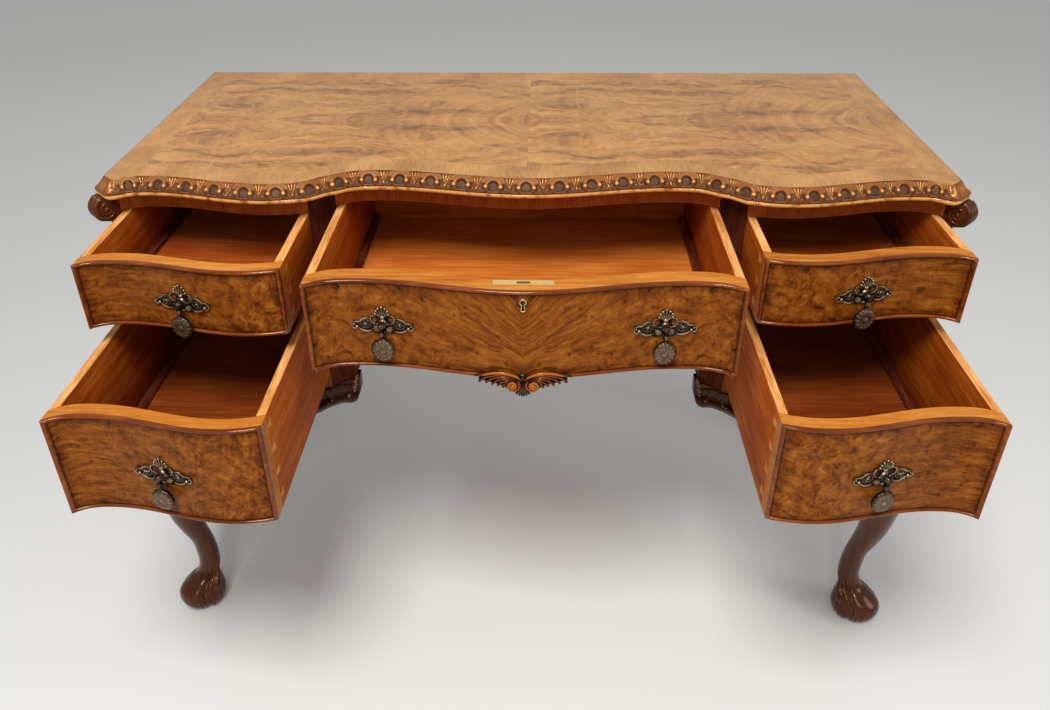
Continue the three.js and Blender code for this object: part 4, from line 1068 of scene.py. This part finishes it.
for side, word in ((-1, "left"), (1, "right")):
    stalk = [(258, 463, 0), (260, 454, 3), (262, 445, 5), (264, 437, 6)]
    beads = [(259.6, 3, 460, 2.0), (261.4, 5, 454, 2.6), (260.6, 5, 448.6, 2.1)]
    beads += [(263.4, 6, 444, 2.5), (263, 7, 438, 2.2)]
    pieces = [tapered([(side * x, z, proud - leaf_y) for x, z, proud in stalk], (1.6, 2.2, 1.2), 13)]
    pieces += [ball((side * x, leaf_y - proud - 0.8, z), radius, 12) for x, proud, z, radius in beads]
    settle(united(pieces), f"{word}_stile_leaf", "case", "carved_walnut", leaf_wood, angle=50)

# The centre drawer's apron carving: two leafy scrolls that spring from a small fan, and a ball at each end.
# The tone follows how far forward each point stands: the deep parts between the fronds are dark, as painted
# shade as well as dirt, and the crests are light, as painted highlight as well as wood rubbed to orange.
apron_shade_and_highlight_tones = ((0.35, "#0e0402"), (1.15, "#9c521a"), (0.65, "#341304"), (0.9, "#6a300a"))
apron_wood, tree, shader, _, _ = relief_toned_material("apron_walnut", "proud", 300, 3, 0.3, apron_shade_and_highlight_tones)
wire(shader, {"Roughness": 0.14, "Specular IOR Level": 0.3, "Specular Tint": srgb("#ffd8b0")})
wire(shader, {"Coat Weight": 0.1, "Coat Roughness": 0.05})

apron_turn = np.linspace(0, 3.4 * math.pi, 48)
apron_reach = 9.2 * np.exp(-0.125 * apron_turn)
curl_out, curl_up = 12.4, -8.2
crest = ((1.2, -1.6, 3.4), (8, 5.8, 5.2), (22, 10.4, 6.0), (36, 9.6, 5.6), (48, 6.0, 4.8), (59, 2.6, 3.4))
fronds = (
    ((6, 0.6, 3.6), (16, 6.0, 4.8), (28, 7.0, 5.0), (40, 4.4, 4.8), (48, 0.4, 4.4), (53.4, -5.2, 4.2)),
    ((7.5, -1.4, 3.6), (16, 3.2, 4.8), (26, 4.2, 5.0), (35, 2.0, 4.6), (41, -1.6, 4.4), (45, -6.0, 4.2)),
    ((10, -2.6, 3.6), (17, 0.6, 4.8), (24, 1.2, 4.8), (30, -1.0, 4.6), (34.6, -4.2, 4.4), (37.6, -8.0, 4.2)),
    ((14.5, -2.8, 3.4), (19, -1.6, 4.6), (24, -2.6, 4.6), (28, -5.4, 4.4), (30.6, -9.2, 4.2)),
    ((18.6, -4.4, 3.2), (21.6, -5.2, 4.4), (23.6, -7.8, 4.2), (24.6, -11.0, 4.0)),
)
# The outline of the thin backing that holds the fronds, (across, up) from the middle of the drawer's foot.
backing = (
    (0, -7), (3, -2), (8, 3.5), (24, 9), (40, 8), (54, 4), (54, -4.4), (45, -5.4), (38, -7.4), (31, -8.8),
    (25, -11), (18, -15), (9, -18), (0, -21),
)
halves = []
for side in (-1, 1):
    pieces = [tapered(crest, (1.4, 1.9, 2.0, 1.9, 1.8, 1.4), 30, 14)]
    for frond in fronds:
        pieces.append(tapered(frond, (0.9, 1.3, 1.45, 1.5, 1.6, 1.7)[-len(frond) :], 22))
    forward = -3.8 - 2.6 * apron_turn / apron_turn[-1]
    spiral = around(curl_out, forward, curl_up, apron_reach, 2.3 + apron_turn)
    pieces.append(rod(spiral, np.linspace(2.4, 1.5, len(spiral)), 10))
    pieces.append(ball((curl_out, -6.2, curl_up), (2.8, 2.4, 2.8)))
    # A dark boss set back where the crests meet stands in for the shade between them and sits over the
    # cockbead there.
    pieces.append(ball((0.8, -2.0, 4.4), (5.0, 2.3, 3.4)))
    for k, (spread_x, low) in enumerate(((1.2, -23.0), (4.4, -22.4), (7.8, -20.4))):
        leaf = ((0.6, -5, 2.5), (0.9 + k * 0.9, -13, 3.6), (spread_x, low, 2.4))
        pieces.append(tapered(leaf, (1.0, 1.9, 1.4), 12))
        pieces.append(ball((spread_x, -2.6, low), (1.5, 1.5, 1.8), 12))
    halves.append(moved(united(pieces), lambda x, y, z: (side * x, y, z)))
    bpy.ops.mesh.primitive_circle_add(vertices=len(backing), radius=1, fill_type="NGON")
    plate = bpy.context.object
    for v, (x, z) in zip(plate.data.vertices, backing):
        v.co = (side * x * mm, -1.5 * mm, z * mm)
    with editing(plate):
        bpy.ops.mesh.extrude_region_move(TRANSFORM_OT_translate={"value": (0, 9 * mm, 0)})
        bpy.ops.mesh.select_all(action="SELECT")
        bpy.ops.mesh.normals_make_consistent(inside=False)
    halves.append(plate)
apron = united(halves)
with editing(apron):
    bpy.ops.mesh.normals_make_consistent(inside=False)
# Painted shade on the points set back, painted highlight on those that stand forward.
mark(apron, "proud", np.clip((-points_of(apron)[:, 1] / mm - 3.4) / 3.8, 0, 1))
moved(apron, lambda x, y, z: (x, y + face_y(x) - centre_pull * mm, z + centre_foot * mm))
settle(apron, "apron_carving", "centre_drawer", "carved_walnut", apron_wood, angle=50)
knob_x = 254.3
for side, word in ((-1, "left"), (1, "right")):
    knob = ball((side * knob_x, face_y(knob_x * mm) / mm - centre_pull - 2.2, 621.2), 4.0)
    mark(knob, "proud", np.full(len(knob.data.vertices), 0.7))
    settle(knob, f"{word}_apron_ball", "centre_drawer", "carved_walnut", apron_wood)

# The handles: cast brass with an antique bronze finish, each a pierced plate with a palmette over two
# wings, a forked post that holds the pin, and a drop with a turned collar and an embossed disc.
# The recesses hold dark wax, and the edges and high points are rubbed to a warm grey metal.
bronze_tones = ((0.24, "#1c1611"), (1.05, "#ac9272"), (0.5, "#3c3128"), (0.8, "#705c47"))
bronze, tree, shader, _, wear = relief_toned_material("antique_bronze", "crest", 260, 4, 0.5, bronze_tones)
rub = add(tree, "MapRange", {0: wear, 3: 0.26, 4: 0.42})
wire(shader, {"Roughness": rub, "Metallic": 0.85})

plate_edge = (
    (0, 19.5), (3.6, 18.2), (6.4, 15.4), (7.8, 12.0), (7.6, 9.6), (10.2, 10.9), (13.2, 10.2), (15.2, 7.6),
    (17.4, 6.3), (20.6, 6.9), (24.2, 6.0), (27.2, 3.4), (29.2, 1.2), (32.4, 1.9), (35.8, 1.1), (38, -1.6),
    (38.2, -5.4), (35.8, -8.4), (32.2, -9.0), (29.6, -8.2), (27.0, -9.8), (23.4, -11.6), (19.2, -12.4),
    (15.4, -12.0), (12.6, -14.4), (9.0, -15.4), (5.2, -14.4), (2.6, -13.0),
)
right_edge = np.array(plate_edge)
loops = [np.concatenate([right_edge, (right_edge * (-1, 1))[:0:-1]])]
turn = np.linspace(0, 2 * math.pi, 25)[:-1]
for across, up, wide, high in ((10.6, 3.6, 3.4, 4.3), (16.0, -8.2, 2.0, 1.9)):
    for side in (-1, 1):
        loops.append(np.stack([side * across + wide * np.cos(turn), up + high * np.sin(turn)], -1))
plate_curve = bpy.data.curves.new("handle_plate", "CURVE")
plate_curve.dimensions = "2D"
plate_curve.fill_mode = "BOTH"
plate_curve.extrude = 0.5 * mm
plate_curve.bevel_depth = 0.45 * mm
plate_curve.bevel_resolution = 2
plate_curve.offset = -0.45 * mm
for points in loops:
    spline = plate_curve.splines.new("POLY")
    spline.points.add(len(points) - 1)
    for point, (u, w) in zip(spline.points, points):
        point.co = (u * mm, w * mm, 0, 1)
    spline.use_cyclic_u = True
plate = bpy.data.objects.new("handle_plate", plate_curve)
bpy.context.scene.collection.objects.link(plate)
pick(plate)
bpy.ops.object.convert(target="MESH")
plate = bpy.context.object
# Cuts across the plate every 4 mm let it bend with the front.
with editing(plate):
    for across in range(-36, 37, 4):
        bpy.ops.mesh.select_all(action="SELECT")
        bpy.ops.mesh.bisect(plane_co=(across * mm, 0, 0), plane_no=(1, 0, 0))
moved(plate, lambda x, y, z: (x, -z - 1.3 * mm, y))


def chased(points, radii, count, sides=8, proud=2.4):
    """A raised line of the casting through (across, up) points, lying on the plate's face."""
    return tapered([(u, w, proud) for u, w in points], radii, count, sides)


pieces = [plate, ball((0, -2.6, 7.4), (3.0, 1.6, 2.2)), ball((0, -2.4, -13.2), (2.6, 1.5, 1.8))]
# The palmette: seven ribs that spread over the post, each with a ball at its tip.
for lean in (-64, -42, -21, 0, 21, 42, 64):
    reach = 13.4 - 4.4 * abs(lean) / 64
    tip = (reach * math.sin(math.radians(lean)), 8.4 + reach * math.cos(math.radians(lean)))
    pieces.append(chased(((0, 7.2), (tip[0] * 0.5, (tip[1] + 7.2) / 2), tip), (0.5, 1.05, 0.9), 8))
    pieces.append(ball((tip[0], -2.8, tip[1]), 1.45, 12))
# The raised lines of one wing, round its hole, over it, under it and round its tip, and then its balls.
rosette_out, rosette_up = 21, -1.6
wing_lines = [
    (((6.8, 9.4), (10.4, 10.2), (13.4, 9.0), (14.6, 5.8), (13.6, 2.0), (10.4, -0.8), (6.6, -1.4)),
     (0.6, 1.15, 1.2, 1.1, 0.7), 22),
    (((15.2, 5.6), (20.4, 6.4), (25.2, 4.6), (28.8, 1.4), (32.6, 1.2), (36.6, -0.2)),
     (0.7, 1.3, 1.3, 1.2, 0.8), 22),
    (((30.4, -6.4), (27.2, -9.2), (22.6, -11.4), (17.6, -11.6), (13.4, -10.2)),
     (0.7, 1.3, 1.4, 1.2, 0.7), 18),
    (((36.8, -0.4), (37.6, -3.8), (36.2, -7.2), (33.0, -8.0), (31.6, -5.8)), (0.8, 1.2, 1.2, 1.1, 0.9), 16),
]
wing_balls = (
    (31.4, -3.0, -5.4, 1.9), (35.0, -2.6, -2.6, 1.2),
    (rosette_out, -2.9, rosette_up, 1.3), (6.4, -4.2, -1.2, 1.5),
)


def rosette(wide, high, turn):
    return rosette_out + wide * math.cos(turn), rosette_up + high * math.sin(turn)


# An oval rosette with a swirl of five petals fills each wing.
ring = [rosette(6.3, 5.8, a) for a in np.linspace(0, 2 * math.pi, 13)]
wing_lines.append((ring, (0.75,), 30))
for k in range(5):
    petal = [rosette(r, r * 0.92, 2 * math.pi * k / 5 + 0.28 * r) for r in (0.6, 2.4, 4.0, 5.2)]
    wing_lines.append((petal, (0.5, 1.0, 0.9, 0.3), 9, 6, 2.3))
# Shell fans spread below, beside the post.
for lean, reach in ((-6, 6.6), (22, 7.6), (50, 8.0), (78, 7.6), (106, 6.6)):
    angle = math.radians(lean)
    tip = (5.4 + reach * math.sin(angle), -7.0 - reach * math.cos(angle))
    rib = ((4.6, -6.4), ((5.4 + tip[0]) / 2, (tip[1] - 7.0) / 2), tip)
    wing_lines.append((rib, (0.4, 1.1, 1.2, 0.5), 9))
for side in (-1, 1):
    for points, *shape in wing_lines:
        pieces.append(chased([(side * u, w) for u, w in points], *shape))
    for u, y, w, radius in wing_balls:
        pieces.append(ball((side * u, y, w), radius, 12))
relief = united(pieces)

# The post is turned with a domed head, slotted for the drop's eye, with the pin through both cheeks.
post_profile = (
    (0, -15.6), (1.6, -15.4), (3.1, -14.4), (4.0, -12.6), (4.2, -9.8), (3.6, -7.4), (3.4, -5.0), (4.8, -3.4),
    (5.2, -2.4), (5.2, -1.0), (0, -1.0),
)


def turned(profile, sides=32, ripple=None):
    """A turned piece about the y axis from (radius, y) points, with an optional ripple of its surface."""
    profile = np.asarray(profile, float)

    def lathe_points(i, j):
        turn = 2 * math.pi * i / sides
        radius, level = profile[j].T
        if ripple is not None:
            radius, level = ripple(radius, level, turn)
        return radius * np.cos(turn) * mm, level * mm, radius * np.sin(turn) * mm

    piece, i, j = shaped_grid(sides, len(profile) - 1, lathe_points)
    close_seams(piece, 0.01 * mm)
    return piece


post = turned(post_profile)
bpy.ops.mesh.primitive_cube_add(size=1, location=(0, -13.1 * mm, -2 * mm))
slot = bpy.context.object
slot.scale = (3.4 * mm, 13.4 * mm, 18 * mm)
apply_modifier(post, "BOOLEAN", operation="DIFFERENCE", solver="EXACT", object=slot)
bpy.data.objects.remove(slot)
pin_proud = 11.2
pin = rod([(x, -pin_proud, 0) for x in (-5.5, -5.3, 0, 5.3, 5.5)], (0, 1.2, 1.2, 1.2, 0), 12)
# The nut stands behind a front of this thickness.
nut_front = 27
nut = turned([(0, 27), (6, 27), (6, 30), (2.6, 30.2), (2.6, 31.4), (0, 31.6)], 6)

# The drop hangs from the pin: an eye, a ringed neck and a disc embossed with a scalloped border.
eye = turned([(3.2, -1.4), (3.2, 1.4), (1.5, 1.4), (1.5, -1.4), (3.2, -1.4)], 24)
moved(eye, lambda x, y, z: (y, x, z))
neck_levels = (-2.6, -4, -5.8, -7.8, -8.1, -9.4, -10.8, -11.8, -13.2, -13.6, -15.4, -18.4)
neck_radii = (1.4, 1.4, 1.45, 1.9, 3.4, 4.0, 3.3, 3.9, 3.2, 2.2, 2.3, 3.6)
neck = rod([(0, 0, z) for z in neck_levels], neck_radii, 20)


def scallop(radius, level, turn):
    """Fourteen scallops round the disc's rim, and as many lobes raised in its border."""
    wave = np.cos(turn * 14)
    raised = 0.75 * bump(radius - 10.4, 2.6) * (0.5 + 0.5 * wave)
    return radius * (1 + 0.022 * wave * (radius > 11.5)), level + np.sign(level) * raised


disc_profile = (
    (0, -4.6), (1.6, -4.5), (3.2, -4.0), (4.2, -3.5), (5.6, -3.5), (6.6, -4.0), (7.4, -4.1), (8.1, -3.6),
    (8.8, -3.5), (9.8, -3.7), (10.8, -3.7), (11.8, -3.3), (12.7, -2.9), (13.5, -2.5), (14.3, -1.6),
    (14.5, -0.6), (14.0, 0.8), (13.4, 2.2), (12, 3.4), (6, 3.8), (0, 3.9),
)
disc = turned(disc_profile, 84, scallop)
moved(disc, lambda x, y, z: (x, y, z * 1.05 - 32.6 * mm))
drop = united([eye, neck, disc])
plate_part = united([relief, post, pin])
# The crest rises from 0 over the ground to its most at the high points; the tip of the post is less rubbed.
for part, ground, swell, most in ((plate_part, 2.3, 1.6, 0.9), (drop, 0.6, 6.4, 0.6), (nut, -40, 60, 0.6)):
    y = points_of(part)[:, 1]
    mark(part, "crest", np.clip((-y / mm - ground) / swell, 0, np.where(y > -4.8 * mm, most, 0.4)))

for handle, drawer, x, z in (
    ("top_left", "top_left_drawer", -420.5, 693), ("top_right", "top_right_drawer", 420.5, 693),
    ("lower_left", "lower_left_drawer", -420.5, 548), ("lower_right", "lower_right_drawer", 420.5, 548),
    ("centre_left", "centre_drawer", -169, 682), ("centre_right", "centre_drawer", 169, 682),
):
    thick_mm, pulled = drawer_list[drawer][4:]
    slope = math.atan2(float(face_y((x + 1) * mm) - face_y((x - 1) * mm)), 2 * mm)
    cosine, sine = math.cos(slope), math.sin(slope)
    front_y = face_y(x * mm) - pulled * mm

    def square_on(px, py, pz):
        return x * mm + px * cosine - py * sine, front_y + px * sine + py * cosine, z * mm + pz

    def hugging(px, py, pz):
        near = (py > -4.6 * mm) | (np.hypot(px, pz) > 7 * mm)
        bent = face_y(x * mm + px * cosine) - face_y(x * mm) - px * sine
        sx, sy, sz = square_on(px, py, pz)
        return sx, sy + np.where(near, bent, 0), sz

    casting = moved(copied(plate_part, handle + "_handle"), hugging)
    settle(casting, f"{handle}_handle_casting", drawer, "aged_bronze", bronze, angle=35)
    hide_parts(f"{handle}_handle_plate")
    hung = moved(copied(drop, handle + "_drop"), lambda px, py, pz: square_on(px, py - pin_proud * mm, pz))
    settle(hung, f"{handle}_drop_casting", f"{handle}_drop", "aged_bronze", bronze, angle=35)
    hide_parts(f"{handle}_handle_drop")
    behind = (thick_mm - nut_front + 0.6) * mm
    backed = moved(copied(nut, handle + "_nut"), lambda px, py, pz: square_on(px, py + behind, pz))
    settle(backed, f"{handle}_handle_nut", drawer, "aged_bronze", bronze, angle=35)
for source in (plate_part, drop, nut):
    bpy.data.objects.remove(source)

# The lock of the centre drawer: brass case and selvedge plate let into the front, its bolt down, and a
# brass thread driven in round the keyhole.
def brass(name, colour, tarnish_colour, roughness):
    """Dull brass with cloudy tarnish."""
    material, tree, shader = new_material(name)
    place = add(tree, "TexCoord", output="Object")
    tarnish = add(tree, "TexNoise", {"Vector": place, "Scale": 220, "Detail": 5})
    tone = add(tree, "Mix", {0: tarnish, 6: srgb(colour), 7: srgb(tarnish_colour)}, data_type="RGBA")
    wire(shader, {"Base Color": tone, "Metallic": 0.6, "Roughness": roughness})
    return material


lock_brass = brass("lock_brass", "#f0d48c", "#ccaa68", 0.45)
bolt_brass = brass("bolt_brass", "#85703f", "#5c4a28", 0.45)
thread_brass = brass("thread_brass", "#e0b868", "#a07c40", 0.3)
for name, metal in (("lock_case", lock_brass), ("lock_bolt", bolt_brass)):
    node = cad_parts[name]
    node.data.materials.clear()
    node.data.materials.append(metal)
head_turn = np.radians(np.linspace(-62, 242, 25))
keyhole_edge = [(3.7 * math.cos(a), 3.9 + 3.7 * math.sin(a)) for a in head_turn]
keyhole_edge += [(-1.7, -1.0), (-2.4, -7.4), (-1.2, -8.2), (1.2, -8.2), (2.4, -7.4), (1.7, -1.0)]
keyhole_edge += keyhole_edge[:2]
thread_y = face_y(0.0) / mm - centre_pull - 0.1
thread = rod([(x, thread_y, key_z + z) for x, z in keyhole_edge], 0.8, 8)
settle(thread, "keyhole_thread", "centre_drawer", "brass", thread_brass, angle=60)
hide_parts("keyhole_escutcheon")
